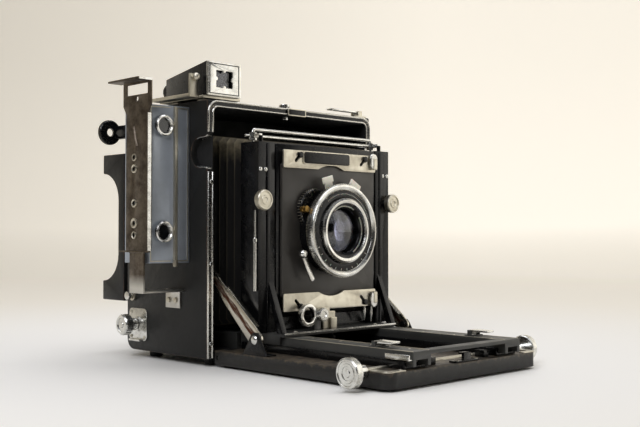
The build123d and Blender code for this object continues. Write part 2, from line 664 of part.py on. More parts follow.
def bed_door():
    door = block((-BED_W / 2, BED_W / 2), (BED_FRONT, BED_REAR), (BED_TOP - BED_T, BED_TOP))
    front_corners = door.edges().filter_by(Axis.Z).group_by(Axis.Y)[0]
    door = fillet(front_corners, BED_CORNER_R)
    door -= rod_x(HINGE_R + RUN_FIT, (-BED_W / 2 - 1, BED_W / 2 + 1), HINGE_Y, HINGE_Z)
    for x in (-LUG_SPACING, 0, LUG_SPACING):
        slot = (x - LUG_W / 2 - 0.3, x + LUG_W / 2 + 0.3)
        door -= block(slot, (HINGE_Y - LUG_R - 0.4, BED_REAR + 1), (BED_TOP - BED_T - 1, BED_TOP + 1))
    door -= rod_x(SHAFT_R + RUN_FIT, (-BED_W / 2 - 1, BED_W / 2 + 1), SHAFT_Y, SHAFT_Z)
    groove = SHAFT_R + RUN_FIT
    over = BED_W / 2 + 1
    door -= block((-over, over), (SHAFT_Y - groove, SHAFT_Y + groove), (SHAFT_Z, BED_TOP + 1))
    for x in both_ways(RACK_MID):
        door -= block((x - 4, x + 4), (SHAFT_Y - 6.2, SHAFT_Y + 6.2), (0.8, BED_TOP + 1))
    return door


def both_ways(value):
    return (-value, value)


def bed_hinge():
    pin = rod_x(HINGE_R, (-BED_W / 2 + 1, BED_W / 2 - 1), HINGE_Y, HINGE_Z)
    for x in (-LUG_SPACING, 0, LUG_SPACING):
        span = (x - LUG_W / 2, x + LUG_W / 2)
        pin += rod_x(LUG_R, span, HINGE_Y, HINGE_Z)
        pin += block(span, (HINGE_Y, FRONT), (HINGE_Z - 1.2, HINGE_Z + 1.6))
    return pin


def strut_ears():
    """Upright ears on the bed that carry the strut pivots."""
    foot = 13.0
    x = (EAR_X, EAR_X + EAR_T)
    outline = [(EAR_Y - foot, BED_TOP), (EAR_Y + foot, BED_TOP), (EAR_Y + 4.6, EAR_Z + 2.4),
               (EAR_Y + 2.2, EAR_Z + 5.0), (EAR_Y - 2.2, EAR_Z + 5.0), (EAR_Y - 4.6, EAR_Z + 2.4)]
    ear = side_profile(outline, x)
    base = block((EAR_X - 8, EAR_X + EAR_T), (EAR_Y - foot, EAR_Y + foot), (BED_TOP, BED_TOP + 1.2))
    pivot = rod_x(STUD_R, (STRUT_X - 0.4, EAR_X), EAR_Y, EAR_Z)
    pivot += rod_x(3.2, (STRUT_X - 1.6, STRUT_X - 0.4), EAR_Y, EAR_Z)
    head = rod_x(2.6, (EAR_X + EAR_T, EAR_X + EAR_T + 0.5), EAR_Y, EAR_Z)
    return both_sides(ear + base + pivot + head)


def strut_length(drop):
    """Distance from the ear's pivot to the fixed stud, with the bed dropped by an angle in degrees."""
    turn = radians(drop)
    dy = EAR_Y - HINGE_Y
    dz = EAR_Z - HINGE_Z
    y = HINGE_Y + dy * cos(turn) - dz * sin(turn)
    z = HINGE_Z + dy * sin(turn) + dz * cos(turn)
    return hypot(STUD_Y - y, STUD_Z - z)


def strut():
    """A tapered sheet strut with a slot for the body's stud, drawn along +Y from its pivot."""
    near = strut_length(0)
    far = strut_length(DROP_ANGLE)
    tip = far + STUD_R + 3.0
    x = (STRUT_X, STRUT_X + STRUT_T)
    points = [(-2.0, -5.4), (6.0, -7.0), (near - 14, -5.0), (tip, -4.4), (tip, 4.4), (near - 14, 5.0),
              (6.0, 6.0), (-2.0, 5.4)]
    plate = side_profile(points, x) + rod_x(5.6, x, 0, 0)
    slot = STUD_R + 0.45
    through = (STRUT_X - 1, STRUT_X + STRUT_T + 1)
    plate -= rod_x(STUD_R + RUN_FIT, through, 0, 0)
    plate -= block(through, (near - 0.5, far + 0.5), (-slot, slot))
    plate -= rod_x(slot, through, near - 0.5, 0)
    plate -= rod_x(slot, through, far + 0.5, 0)
    angle = degrees(atan2(STUD_Z - EAR_Z, STUD_Y - EAR_Y))
    flange = block((STRUT_X - 3.0, STRUT_X), (8.0, near - 16), (4.4, 5.6))
    flange += block((STRUT_X - 3.0, STRUT_X), (8.0, near - 16), (-6.0, -4.8))
    return Pos(0, EAR_Y, EAR_Z) * Rot(angle, 0, 0) * (plate + flange)


def bed_track():
    """Fixed channels on the bed that guide the moving rails, with pockets over the pinions."""
    y = (BED_FRONT + 6, BED_REAR - 6)
    web = block((TRACK_IN - TRACK_LIP, TRACK_OUT + TRACK_LIP), y, (BED_TOP, BED_TOP + TRACK_T))
    lip_z = (BED_TOP + TRACK_T, BED_TOP + TRACK_T + TRACK_LIP_H)
    channel = web + block((TRACK_OUT, TRACK_OUT + TRACK_LIP), y, lip_z)
    channel += block((TRACK_IN - TRACK_LIP, TRACK_IN), y, lip_z)
    gear_gap = (SHAFT_Y - 6.2, SHAFT_Y + 6.2)
    channel -= block((RACK_MID - 4, RACK_MID + 4), gear_gap, (BED_TOP - 1, BED_TOP + 20))
    groove = SHAFT_R + 0.3
    width = (TRACK_IN - TRACK_LIP - 1, TRACK_OUT + TRACK_LIP + 1)
    channel -= block(width, (SHAFT_Y - groove, SHAFT_Y + groove), (BED_TOP - 1, SHAFT_Z + groove))
    return both_sides(channel)


def bed_latch():
    """Catch on the bed's free edge: base plate, hook and two folded stops."""
    y = BED_FRONT
    plate = block((-13, 13), (y + 1.5, y + 8), (BED_TOP, BED_TOP + 1.2))
    hook = block((-4, 4), (y + 2, y + 4.2), (BED_TOP + 1.2, BED_TOP + 6))
    hook += block((-4, 4), (y + 2, y + 7), (BED_TOP + 5, BED_TOP + 6.4))
    stop = block((27, 33), (y + 8, y + 16), (BED_TOP, BED_TOP + 5))
    return [plate + hook, stop] + [mirror(stop, about=Plane.YZ)]


def focus_track():
    rail = block((RAIL_IN, RAIL_OUT), (RAIL_FRONT, RAIL_REAR), (RAIL_LOW, RAIL_TOP))
    rail -= block((RAIL_IN + 3, RAIL_OUT - 3), (RAIL_FRONT - 1, RAIL_REAR + 1), (RAIL_LOW - 1, RACK_BACK))
    yoke = block((-RAIL_IN - 1, RAIL_IN + 1), (RAIL_FRONT, RAIL_FRONT + YOKE_W), (RAIL_TOP - 2.4, RAIL_TOP))
    rear = block((-RAIL_IN - 1, RAIL_IN + 1), (RAIL_REAR - 8, RAIL_REAR), (RAIL_TOP - 2.4, RAIL_TOP))
    return rail + mirror(rail, about=Plane.YZ) + yoke + rear


def focus_racks():
    """Toothed racks under the rails; their teeth stand clear of the pinion's by a small backlash."""
    pitch = pi * MODULE
    front = SHAFT_Y - 5 * pitch
    count = int(RAIL_TRAVEL / pitch) + 11
    x = (RACK_MID - RACK_W / 2, RACK_MID + RACK_W / 2)
    points = [(front - pitch / 2, RACK_LINE + MODULE), (front - pitch / 2, RACK_BACK)]
    end = front + (count - 0.5) * pitch
    points += [(end, RACK_BACK), (end, RACK_LINE + MODULE)]
    for tooth in range(count - 1, -1, -1):
        y = front + tooth * pitch
        points += [(y + 0.30 * pitch, RACK_LINE + MODULE), (y + 0.10 * pitch, RACK_LINE - 0.7 * MODULE),
                   (y - 0.10 * pitch, RACK_LINE - 0.7 * MODULE), (y - 0.30 * pitch, RACK_LINE + MODULE)]
    return both_sides(side_profile(points, x))


def pinion():
    """Ten narrow teeth; a gap faces straight up so that a rack tooth stands in it."""
    root = PITCH_R - 1.15 * MODULE
    tip = PITCH_R + 0.75 * MODULE
    half_root = 0.55
    half_tip = 0.28
    x = (-RACK_W / 2 + 0.4, RACK_W / 2 - 0.4)
    gear = rod_x(root, x, 0, 0)
    for tooth in range(TOOTH_COUNT):
        turn = 360 * (tooth + 0.5) / TOOTH_COUNT
        outline = [(-half_root, root - 0.6), (half_root, root - 0.6), (half_tip, tip), (-half_tip, tip)]
        gear += Rot(turn, 0, 0) * side_profile(outline, x)
    return gear


def focus_shaft():
    reach = BED_W / 2 + KNOB_STANDOFF + 3
    shaft = rod_x(SHAFT_R, (-reach, reach), SHAFT_Y, SHAFT_Z)
    for x in both_ways(RACK_MID):
        shaft += Pos(x, SHAFT_Y, SHAFT_Z) * pinion()
    return shaft


def focus_knob():
    inner = BED_W / 2 + 0.4
    rim = BED_W / 2 + KNOB_STANDOFF + 0.4
    hub = rod_x(4.2, (inner, rim), SHAFT_Y, SHAFT_Z)
    disc = rod_x(KNOB_R, (rim, rim + KNOB_T), SHAFT_Y, SHAFT_Z)
    disc = chamfer(disc.edges().filter_by(GeomType.CIRCLE), 0.7)
    disc -= rod_x(KNOB_R - 3, (rim + KNOB_T - 0.6, rim + KNOB_T + 1), SHAFT_Y, SHAFT_Z)
    disc += rod_x(KNOB_R - 5.4, (rim + KNOB_T - 0.6, rim + KNOB_T), SHAFT_Y, SHAFT_Z)
    return hub + disc - rod_x(SHAFT_R, (inner - 1, BED_W / 2 + KNOB_STANDOFF + 3), SHAFT_Y, SHAFT_Z)


def stop_base():
    """The stop's foot on top of the rail with a pin across it."""
    foot = block((RAIL_OUT - 13, RAIL_OUT - 1), (STOP_Y - 4, STOP_Y + 4), (RAIL_TOP, RAIL_TOP + 0.8))
    for x in (RAIL_OUT - 12.4, RAIL_OUT - 1.6):
        foot += block((x - 0.6, x + 0.6), (STOP_Y - 1.6, STOP_Y + 1.6), (RAIL_TOP + 0.8, STOP_Z + 1.4))
    return foot + rod_x(0.8, (RAIL_OUT - 13, RAIL_OUT - 1), STOP_Y, STOP_Z)


def infinity_stop():
    """A folded tab that turns on its pin: flat on the rail for transport, upright to stop the standard."""
    span = (RAIL_OUT - 11.4, RAIL_OUT - 2.6)
    tab = rod_x(1.7, span, STOP_Y, STOP_Z) + block(span, (STOP_Y - 15, STOP_Y), (STOP_Z + 0.2, STOP_Z + 1.6))
    return tab - rod_x(0.8 + RUN_FIT, (RAIL_OUT - 14, RAIL_OUT), STOP_Y, STOP_Z)


# ---------------------------------------------------------------- front standard

def standard_base():
    plate = block((-BASE_HALF_W, BASE_HALF_W), (BASE_FRONT, BASE_REAR), (BASE_LOW, BASE_TOP))
    plate = fillet(plate.edges().filter_by(Axis.Z), 3.0)
    jaw_x = (TRACK_OUT + 0.25, BASE_HALF_W)
    for side in (1, -1):
        x = (jaw_x[0], jaw_x[1]) if side > 0 else (-jaw_x[1], -jaw_x[0])
        plate += block(x, (BASE_FRONT + 4, BASE_REAR - 4), (TRACK_CLEAR, BASE_LOW))
    post = rod_y(3.4, LOCK_X, (LOCK_Y + 0.6, LOCK_Y + 4.4), LOCK_Z)
    post += block((LOCK_X - 3.4, LOCK_X + 3.4), (LOCK_Y + 0.6, LOCK_Y + 4.4), (BASE_TOP, LOCK_Z))
    stem = rod_y(1.5, LOCK_X, (LOCK_Y - 4.2, LOCK_Y + 1), LOCK_Z)
    return plate + post + stem


def standard_lock():
    """Ring-headed locking lever in front of the base post."""
    y = (LOCK_Y - 3.6, LOCK_Y)
    ring_x = LOCK_X - 13.0
    lever = rod_y(4.4, LOCK_X, y, LOCK_Z)
    lever += block((ring_x, LOCK_X), y, (LOCK_Z - 2.2, LOCK_Z + 2.2))
    lever += rod_y(8.6, ring_x, y, LOCK_Z)
    lever -= rod_y(5.6, ring_x, (y[0] - 1, y[1] + 1), LOCK_Z)
    return lever - rod_y(1.5 + RUN_FIT, LOCK_X, (y[0] - 1, y[1] + 1), LOCK_Z)


def upright():
    """One channel-section upright, with the guide that holds the rising panel from behind."""
    z = (BASE_TOP, UPRIGHT_TOP)
    face = block((UPRIGHT_IN, UPRIGHT_OUT), (STANDARD_Y, STANDARD_Y + UPRIGHT_T), z)
    flange = block((UPRIGHT_OUT - 2, UPRIGHT_OUT), (STANDARD_Y + UPRIGHT_T, STANDARD_Y + FLANGE_D), z)
    guide_y = STANDARD_Y + PANEL_T + SLIDE_FIT
    guide = block((UPRIGHT_IN - 6, UPRIGHT_IN + 3), (guide_y, guide_y + 2), (BASE_TOP, UPRIGHT_TOP))
    tie = block((UPRIGHT_IN + 1, UPRIGHT_IN + 3), (STANDARD_Y + UPRIGHT_T, guide_y), (BASE_TOP, UPRIGHT_TOP))
    foot = block((UPRIGHT_IN, UPRIGHT_OUT), (STANDARD_Y, STANDARD_Y + FLANGE_D), (BASE_TOP, BASE_TOP + 2))
    bush_z = (WIRE_LOW + 2.0, WIRE_LOW + 8.0)
    bush = block((WIRE_X - 3, UPRIGHT_OUT - 2), (STANDARD_Y + UPRIGHT_T, WIRE_Y + 3), bush_z)
    bush -= rod_z(WIRE_R + RUN_FIT, WIRE_X, WIRE_Y, (bush_z[0] - 1, bush_z[1] + 1))
    post = rod_z(1.6, WIRE_X, STANDARD_Y + 5, (UPRIGHT_TOP - 1, CROSSBAR_Z))
    post += block((WIRE_X - 1.6, WIRE_X + 1.6), (STANDARD_Y + 2, STANDARD_Y + 6.6),
                  (UPRIGHT_TOP - 3, UPRIGHT_TOP))
    stem = rod_y(2.2, UPRIGHT_OUT - 1, (STANDARD_Y - 4.4, STANDARD_Y), RISE_KNOB_Z)
    return face + flange + guide + tie + foot + bush + post + stem


def standard_frame():
    foot_bar = block((-UPRIGHT_IN, UPRIGHT_IN), (STANDARD_Y + 6.4, STANDARD_Y + 12),
                     (BASE_TOP, BASE_TOP + 10))
    half = upright()
    return half + mirror(half, about=Plane.YZ) + foot_bar


def crossbar():
    """Bar behind the standard's top, with the collars that the wire finder's legs slide in."""
    bar = rod_x(1.5, (-WIRE_X, WIRE_X), WIRE_Y, CROSSBAR_Z)
    for x in both_ways(WIRE_X):
        bar += rod_z(3.4, x, WIRE_Y, (CROSSBAR_Z - 3.2, CROSSBAR_Z + 2.4))
        bar += block((x - 1.5, x + 1.5), (STANDARD_Y + 5, WIRE_Y), (CROSSBAR_Z - 1.5, CROSSBAR_Z + 1.5))
        outer = (x, x + 7.5) if x > 0 else (x - 7.5, x)
        bar += rod_x(1.0, outer, WIRE_Y, CROSSBAR_Z)
    for x in both_ways(WIRE_X):
        bar -= rod_z(WIRE_R + RUN_FIT, x, WIRE_Y, (CROSSBAR_Z - 5, CROSSBAR_Z + 5))
        bar -= rod_z(1.6, x, STANDARD_Y + 5, (CROSSBAR_Z - 5, CROSSBAR_Z))
    return bar


def wire_finder():
    path = FilletPolyline((-WIRE_X, WIRE_Y, WIRE_LOW), (-WIRE_X, WIRE_Y, WIRE_TOP),
                          (WIRE_X, WIRE_Y, WIRE_TOP), (WIRE_X, WIRE_Y, WIRE_LOW), radius=2.5)
    return sweep(Plane(origin=path @ 0, z_dir=path % 0) * Circle(WIRE_R), path=path)


def standard_braces():
    """Flat braces from the uprights' front faces down to the base's front corners."""
    x = (BASE_HALF_W - 4.5, BASE_HALF_W)
    top_z = 61.0
    outline = [(STANDARD_Y, top_z), (STANDARD_Y, top_z - 9), (BASE_FRONT + 7, BASE_TOP),
               (BASE_FRONT + 1, BASE_TOP)]
    return both_sides(side_profile(outline, x))


def rise_knob():
    y = (STANDARD_Y - 7.4, STANDARD_Y - 1.2)
    x = UPRIGHT_OUT - 1
    knob = rod_y(RISE_KNOB_R, x, (y[0], y[1] - 1.4), RISE_KNOB_Z)
    knob = chamfer(knob.edges().filter_by(GeomType.CIRCLE), 0.6)
    knob -= rod_y(RISE_KNOB_R - 2.4, x, (y[0] - 1, y[0] + 0.6), RISE_KNOB_Z)
    knob += rod_y(4.0, x, (y[0] + 1, y[1]), RISE_KNOB_Z)
    return knob - rod_y(2.2 + RUN_FIT, x, (y[0] + 2, y[1] + 1), RISE_KNOB_Z)


def lens_panel():
    panel = block((-PANEL_HALF_W, PANEL_HALF_W), (STANDARD_Y, STANDARD_Y + PANEL_T), (PANEL_LOW, PANEL_HIGH))
    return panel - rod_y(REAR_CELL_R + 8, 0, (STANDARD_Y - 1, STANDARD_Y + PANEL_T + 1), LENS_Z)


def lens_board():
    half = BOARD_SIZE / 2
    board = block((-half, half), (BOARD_FRONT, STANDARD_Y), (LENS_Z - half, LENS_Z + half))
    board = fillet(board.edges().filter_by(Axis.Y), 2.0)
    return board - rod_y(REAR_CELL_R + SEAT, 0, (BOARD_FRONT - 1, STANDARD_Y + 1), LENS_Z)


def clip(flip):
    """Board lock: a plate with two diagonal slots, a dip in the middle of one edge and a turned grip end."""
    half = CLIP_W / 2
    plate = Rectangle(CLIP_W, CLIP_H)
    plate = fillet(plate.vertices(), 1.2)
    plate -= Pos(0, -CLIP_H / 2 - 26.5) * Circle(30.0)
    slot = Rot(0, 0, 45) * SlotCenterToCenter(2 * SLOT_HALF, 2.6)
    for x in both_ways(SLOT_X):
        plate -= Pos(x, SLOT_RAISE) * slot
    solid = front_profile(plate, (CLIP_REAR - CLIP_T, CLIP_REAR))
    grip_y = (CLIP_REAR - CLIP_T - 3.4, CLIP_REAR - CLIP_T)
    grip = block((half - 5, half - 1.2), grip_y, (-CLIP_H / 2 + 2, CLIP_H / 2 - 2))
    grip = fillet(grip.edges().filter_by(Axis.X), 1.2)
    solid = solid + grip
    if flip:
        solid = mirror(solid, about=Plane.XY)
    return Pos(0, 0, LENS_Z - CLIP_Z if flip else LENS_Z + CLIP_Z) * solid


def clip_screws():
    """Headed studs on the panel that run in the clips' slots."""
    studs = []
    for side in (1, -1):
        shift = SLOT_HALF * sin(radians(45))
        z = LENS_Z + side * (CLIP_Z + SLOT_RAISE + shift)
        for x in both_ways(SLOT_X):
            head_rear = CLIP_REAR - CLIP_T - 0.3
            stud = rod_y(0.95, x + shift, (head_rear, STANDARD_Y), z)
            stud += rod_y(2.4, x + shift, (head_rear - 1.2, head_rear), z)
            studs.append(stud)
    return studs


# ---------------------------------------------------------------- lens

def shutter_case():
    case = rod_y(CASE_R, 0, (CASE_FRONT, CASE_REAR), LENS_Z)
    case += rod_y(16.0, -20, (CASE_REAR - 5, CASE_REAR), LENS_Z + 16)
    case -= rod_y(BARREL_BORE, 0, (CASE_FRONT - 1, CASE_REAR + 1), LENS_Z)
    case -= rod_y(CASE_R + 3, 0, (LEVER_Y[0] - 0.2, LEVER_Y[1] + 0.2), LENS_Z) - rod_y(
        LEVER_BORE - 0.3, 0, (CASE_FRONT - 1, CASE_REAR + 1), LENS_Z)
    return case


def shutter_ring():
    ring = rod_y(RING_R, 0, (RING_FRONT, RING_REAR), LENS_Z)
    ring = chamfer(ring.edges().filter_by(GeomType.CIRCLE), 0.7)
    return ring - rod_y(RING_BORE, 0, (RING_FRONT - 1, RING_REAR + 1), LENS_Z)


def lens_barrel():
    barrel = rod_y(BARREL_R, 0, (BARREL_FRONT, CASE_FRONT), LENS_Z)
    cone = Pos(0, (BARREL_FRONT + CASE_FRONT) / 2, LENS_Z) * Rot(90, 0, 0) * Cone(
        GLASS_R + 0.6, BARREL_R - 2.2, CASE_FRONT - BARREL_FRONT)
    barrel -= cone
    sleeve = rod_y(BARREL_BORE - SEAT, 0, (CASE_FRONT, BOARD_FRONT), LENS_Z)
    sleeve -= rod_y(GLASS_R + SEAT, 0, (CASE_FRONT - 1, BOARD_FRONT + 1), LENS_Z)
    barrel += sleeve
    rear = rod_y(REAR_CELL_R, 0, (BOARD_FRONT, REAR_CELL_Y), LENS_Z)
    rear -= rod_y(REAR_CELL_R - 2.5, 0, (BOARD_FRONT - 1, REAR_CELL_Y + 1), LENS_Z)
    return barrel + rear


def lens_glass():
    """Front and rear elements, ground as shallow domes."""
    front_y = CASE_FRONT + 1
    dome = Pos(0, front_y + 32.0, LENS_Z) * Sphere(38.0)
    front = rod_y(GLASS_R, 0, (front_y - 8, front_y + 5), LENS_Z) & dome
    rear = rod_y(REAR_CELL_R - 2.5 - SEAT, 0, (REAR_CELL_Y - 7, REAR_CELL_Y - 1), LENS_Z)
    rear = rear & (Pos(0, REAR_CELL_Y - 41, LENS_Z) * Sphere(40.0))
    return [front, rear]


def turning_lever(angle, reach, width, tab):
    """A flat ring inside the shutter case with one arm that stands out past the rim."""
    y = LEVER_Y
    mid = (y[0] + y[1]) / 2
    arm = Pos((LEVER_BORE + reach) / 2, mid, 0) * Box(reach - LEVER_BORE, y[1] - y[0], width)
    tip = Pos(reach - tab / 2, mid, 0) * Box(tab, y[1] - y[0], width + 3.0)
    return Pos(0, 0, LENS_Z) * Rot(0, angle, 0) * (arm + tip)


def cocking_lever():
    return turning_lever(140.0, 47.0, 4.0, 9.0)


def release_lever():
    return turning_lever(-60.0, 44.0, 9.0, 5.0)


def aperture_pointer():
    return turning_lever(-104.0, 43.0, 8.0, 5.0)


# ---------------------------------------------------------------- bellows

def bellows_shell(inset, reach):
    def section(y, half, low, high):
        outline = Pos(0, (low + high) / 2) * Rectangle(2 * (half - inset), high - low - 2 * inset)
        return Plane.XZ.offset(-y) * outline
    y0 = STANDARD_Y + PANEL_T + SLIDE_FIT + 2.6 - reach
    y1 = PLATE_Y - 0.1 + reach
    return loft([section(y0, *BELLOWS_FRONT), section(y1, *BELLOWS_REAR)])


def bellows():
    return bellows_shell(0, 0) - bellows_shell(BELLOWS_T, 0.5)


def main():
    os.makedirs("parts", exist_ok=True)
    save("body_shell", body_shell())
    save("front_trim", front_trim())
    save("body_feet", *body_feet())
    save("tripod_bush", tripod_bush())
    save("inner_track", *inner_track())
    save("shutter_plate", shutter_plate())
    save("winding_roller", winding_roller())
    save("tension_roller", roller(ROLLER_HIGH_Z))
    save("winding_key", winding_key())
    save("shutter_curtain", shutter_curtain())
    save("winding_plate", winding_plate())
    save("shutter_trigger", shutter_trigger())
    save("body_fittings", *side_hardware(), sight_base(), *strap_lugs())
    save("back_frame", back_frame())
    save("focusing_back", focusing_back(), cover_pin())
    save("ground_glass", ground_glass())
    save("hood_cover", hood_cover())
    save("back_springs", *back_springs())
    save("range_finder_housing", range_finder_housing())
    save("range_finder_bezels", *range_finder_bezels())
    save("range_finder_eyepiece", range_finder_eyepiece())
    save("small_glasses", *small_glasses())
    save("flash_bracket", flash_bracket())
    save("finder_base", finder_base())
    save("finder_housing", finder_housing(), finder_eyepiece())
    save("finder_mask", finder_mask())
    save("bed_button", bed_button())
    save("peep_sight", peep_sight())
    save("hand_strap", hand_strap())
    save("bed_door", bed_door())
    save("bed_hinge", bed_hinge())
    save("bed_fittings", *strut_ears(), *bed_latch())
    right = strut()
    save("strut_right", right)
    save("strut_left", mirror(right, about=Plane.YZ))
    save("bed_track", *bed_track())
    save("focus_track", focus_track(), *both_sides(stop_base()))
    save("focus_racks", *focus_racks())
    save("focus_shaft", focus_shaft())
    save("focus_knobs", *both_sides(focus_knob()))
    save("infinity_stop_right", infinity_stop())
    save("infinity_stop_left", mirror(infinity_stop(), about=Plane.YZ))
    save("standard_base", standard_base())
    save("standard_lock", standard_lock())
    save("standard_frame", standard_frame(), *standard_braces())
    save("finder_crossbar", crossbar())
    save("wire_finder", wire_finder())
    save("rise_knob_right", rise_knob())
    save("rise_knob_left", mirror(rise_knob(), about=Plane.YZ))
    save("lens_panel", lens_panel(), *clip_screws())
    save("lens_board", lens_board())
    save("clip_upper", clip(False))
    save("clip_lower", clip(True))
    save("shutter_case", shutter_case())
    save("shutter_ring", shutter_ring())
    save("lens_barrel", lens_barrel())
    save("lens_glass", *lens_glass())
    save("cocking_lever", cocking_lever())
    save("release_lever", release_lever())
    save("aperture_pointer", aperture_pointer())
    save("bellows", bellows())


main()
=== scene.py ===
# %% [markdown]
# # A folding press camera, dressed for its portrait
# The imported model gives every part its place, its size and its joints. This notebook gives the parts their looks:
# pleats, grain, knurls, beads, screws and worn edges. All places are in metres in the camera's own frame, whose
# origin is the mouth of the tripod socket, with the lens looking along -Y.

# %% Load the frame
import json
from math import atan2, cos, hypot, pi, radians, sin

import bmesh
import bpy
from mathutils import Matrix, Vector


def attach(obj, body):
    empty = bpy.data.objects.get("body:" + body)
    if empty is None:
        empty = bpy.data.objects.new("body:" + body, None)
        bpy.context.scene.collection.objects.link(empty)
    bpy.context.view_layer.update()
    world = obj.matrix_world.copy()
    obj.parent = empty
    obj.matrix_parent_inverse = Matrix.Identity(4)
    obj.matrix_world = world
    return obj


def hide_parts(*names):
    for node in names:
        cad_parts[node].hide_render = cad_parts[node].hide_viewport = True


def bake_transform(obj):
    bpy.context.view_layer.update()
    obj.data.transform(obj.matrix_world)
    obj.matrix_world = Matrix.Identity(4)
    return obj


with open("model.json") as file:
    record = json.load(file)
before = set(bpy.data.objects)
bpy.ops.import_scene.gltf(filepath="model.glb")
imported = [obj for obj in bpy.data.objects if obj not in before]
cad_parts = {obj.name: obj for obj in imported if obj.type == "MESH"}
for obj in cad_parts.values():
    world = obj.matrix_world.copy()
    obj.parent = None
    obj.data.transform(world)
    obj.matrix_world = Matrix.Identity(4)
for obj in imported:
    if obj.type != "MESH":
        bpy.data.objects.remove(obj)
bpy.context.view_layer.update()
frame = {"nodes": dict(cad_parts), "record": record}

# %% [markdown]
# The portrait is taken with a short telephoto lens from just above the floor, off the camera's front left corner.
# The lens is turned, not shifted, so upright edges stay nearly upright by the low height alone. The standard view
# keeps a finish's hex colour as it was mixed.

# %% Portrait camera
portrait_lens = bpy.data.cameras.new("portrait_lens")
portrait_lens.lens = 55.66
portrait_lens.sensor_width = 36.0
portrait_camera = bpy.data.objects.new("portrait_camera", portrait_lens)
portrait_camera.location = (-0.55089, -0.64148, 0.09599)
portrait_camera.rotation_euler = (radians(91.063), 0.0, radians(-44.585))
bpy.context.scene.collection.objects.link(portrait_camera)
bpy.context.scene.camera = portrait_camera
bpy.context.scene.view_settings.view_transform = "Standard"
print("portrait camera at", [round(v, 3) for v in portrait_camera.location])

# %% [markdown]
# Every finish is a tree of shader nodes. Two small helpers carry all of them: one turns a paint-chart hex colour
# into the linear light that shaders work in, and one adds a node with its settings and links.

# %% Paint and node helpers
MM = 0.001


def paint(code):
    """An sRGB colour such as #a0b1c2 as linear light."""
    parts = [int(code[i:i + 2], 16) / 255 for i in (1, 3, 5)]
    return [p / 12.92 if p <= 0.04045 else ((p + 0.055) / 1.055) ** 2.4 for p in parts] + [1.0]


def add(tree, kind, inputs=None, **settings):
    """Adds a node to a tree; an input is given a value or another node's output."""
    node = tree.nodes.new(kind)
    for key, value in settings.items():
        setattr(node, key, value)
    for key, value in (inputs or {}).items():
        if isinstance(value, bpy.types.NodeSocket):
            tree.links.new(value, node.inputs[key])
        else:
            node.inputs[key].default_value = value
    return node


def finish(name, slot, colour, metallic=0.0, roughness=0.5, **constants):
    """A material with its even values on the shader itself. The slot argument is not used."""
    material = bpy.data.materials.new(name)
    material.use_nodes = True
    tree = material.node_tree
    shader = tree.nodes["Principled BSDF"]
    even = {"Base Color": paint(colour), "Metallic": metallic, "Roughness": roughness}
    even.update({key.replace("_", " "): value for key, value in constants.items()})
    for key, value in even.items():
        shader.inputs[key].default_value = value
    return material, tree, shader


print("helpers ready, mid grey is", round(paint("#808080")[0], 4))

# %% [markdown]
# **Plated brass.** Bright parts of old cameras are brass under nickel or chrome. Polish leaves fine scratches
# across the plate, and years leave a faint warm haze in blotches. One recipe serves the bright chrome, the satin
# nickel and the grey alloy: only the colour, the roughness, the scratch spacing and the haze change.

# %% Recipe for plated metal


def plated(name, slot, bright, hazed, rough, scratch_mm, haze=0.5, depth_mm=0.004, stretch=(1, 1, 14)):
    """Scratches are stretched noise in the roughness and the bump; haze mixes in a second colour in soft blotches."""
    material, tree, shader = finish(name, slot, bright, 1.0, rough[0])
    place = add(tree, "ShaderNodeTexCoord").outputs["Object"]
    run = add(tree, "ShaderNodeMapping", {"Vector": place, "Scale": stretch}).outputs[0]
    lines = add(tree, "ShaderNodeTexNoise", {"Vector": run, "Scale": 1 / (scratch_mm * MM * 14), "Detail": 3.0})
    blotch = add(tree, "ShaderNodeTexNoise", {"Vector": place, "Scale": 1 / (9 * MM), "Detail": 6.0,
                                              "Roughness": 0.65})
    spread = add(tree, "ShaderNodeMapRange", {"Value": blotch.outputs[0], "From Min": 0.42, "From Max": 0.7,
                                              "To Max": haze})
    tone = add(tree, "ShaderNodeMix", {0: spread.outputs[0], 6: paint(bright), 7: paint(hazed)}, data_type="RGBA")
    both = add(tree, "ShaderNodeMath", {0: lines.outputs[0], 1: spread.outputs[0]}, operation="ADD")
    dull = add(tree, "ShaderNodeMapRange", {"Value": both.outputs[0], "From Min": 0.3, "From Max": 1.1,
                                            "To Min": rough[0], "To Max": rough[1]})
    bump = add(tree, "ShaderNodeBump", {"Height": lines.outputs[0], "Distance": depth_mm * MM, "Strength": 0.6})
    tree.links.new(tone.outputs[2], shader.inputs["Base Color"])
    tree.links.new(dull.outputs[0], shader.inputs["Roughness"])
    tree.links.new(bump.outputs[0], shader.inputs["Normal"])
    return material


# Chrome: a hard mirror that only greys where fingers rub it.
bright_chrome = plated("bright_chrome_plate", "nickel", "#e2e2de", "#a8a296", (0.16, 0.34), 0.5, 0.5)
# The trim's plate is thicker and smoother, with an even soft shine.
trim_chrome = plated("smooth_trim_plate", "nickel", "#dddbd4", "#b2ada2", (0.22, 0.34), 0.5, 0.4, 0.001)
# Satin nickel: the plate was scratch-brushed along the strip, so highlights smear wide and warm.
satin_nickel = plated("brushed_nickel_plate", "satin_nickel", "#cfcabb", "#9a8f7c", (0.28, 0.48), 0.35, 0.45,
                      0.006, (14, 1, 1))
# Grey alloy: a die casting, blasted and lacquered, soft blue-grey with no sharp reflection.
grey_alloy = plated("blasted_grey_alloy", "grey_alloy", "#a4abb4", "#8f9499", (0.32, 0.42), 0.3, 0.4, 0.008,
                    (1, 1, 1))
grey_alloy.node_tree.nodes["Principled BSDF"].inputs["Metallic"].default_value = 0.45
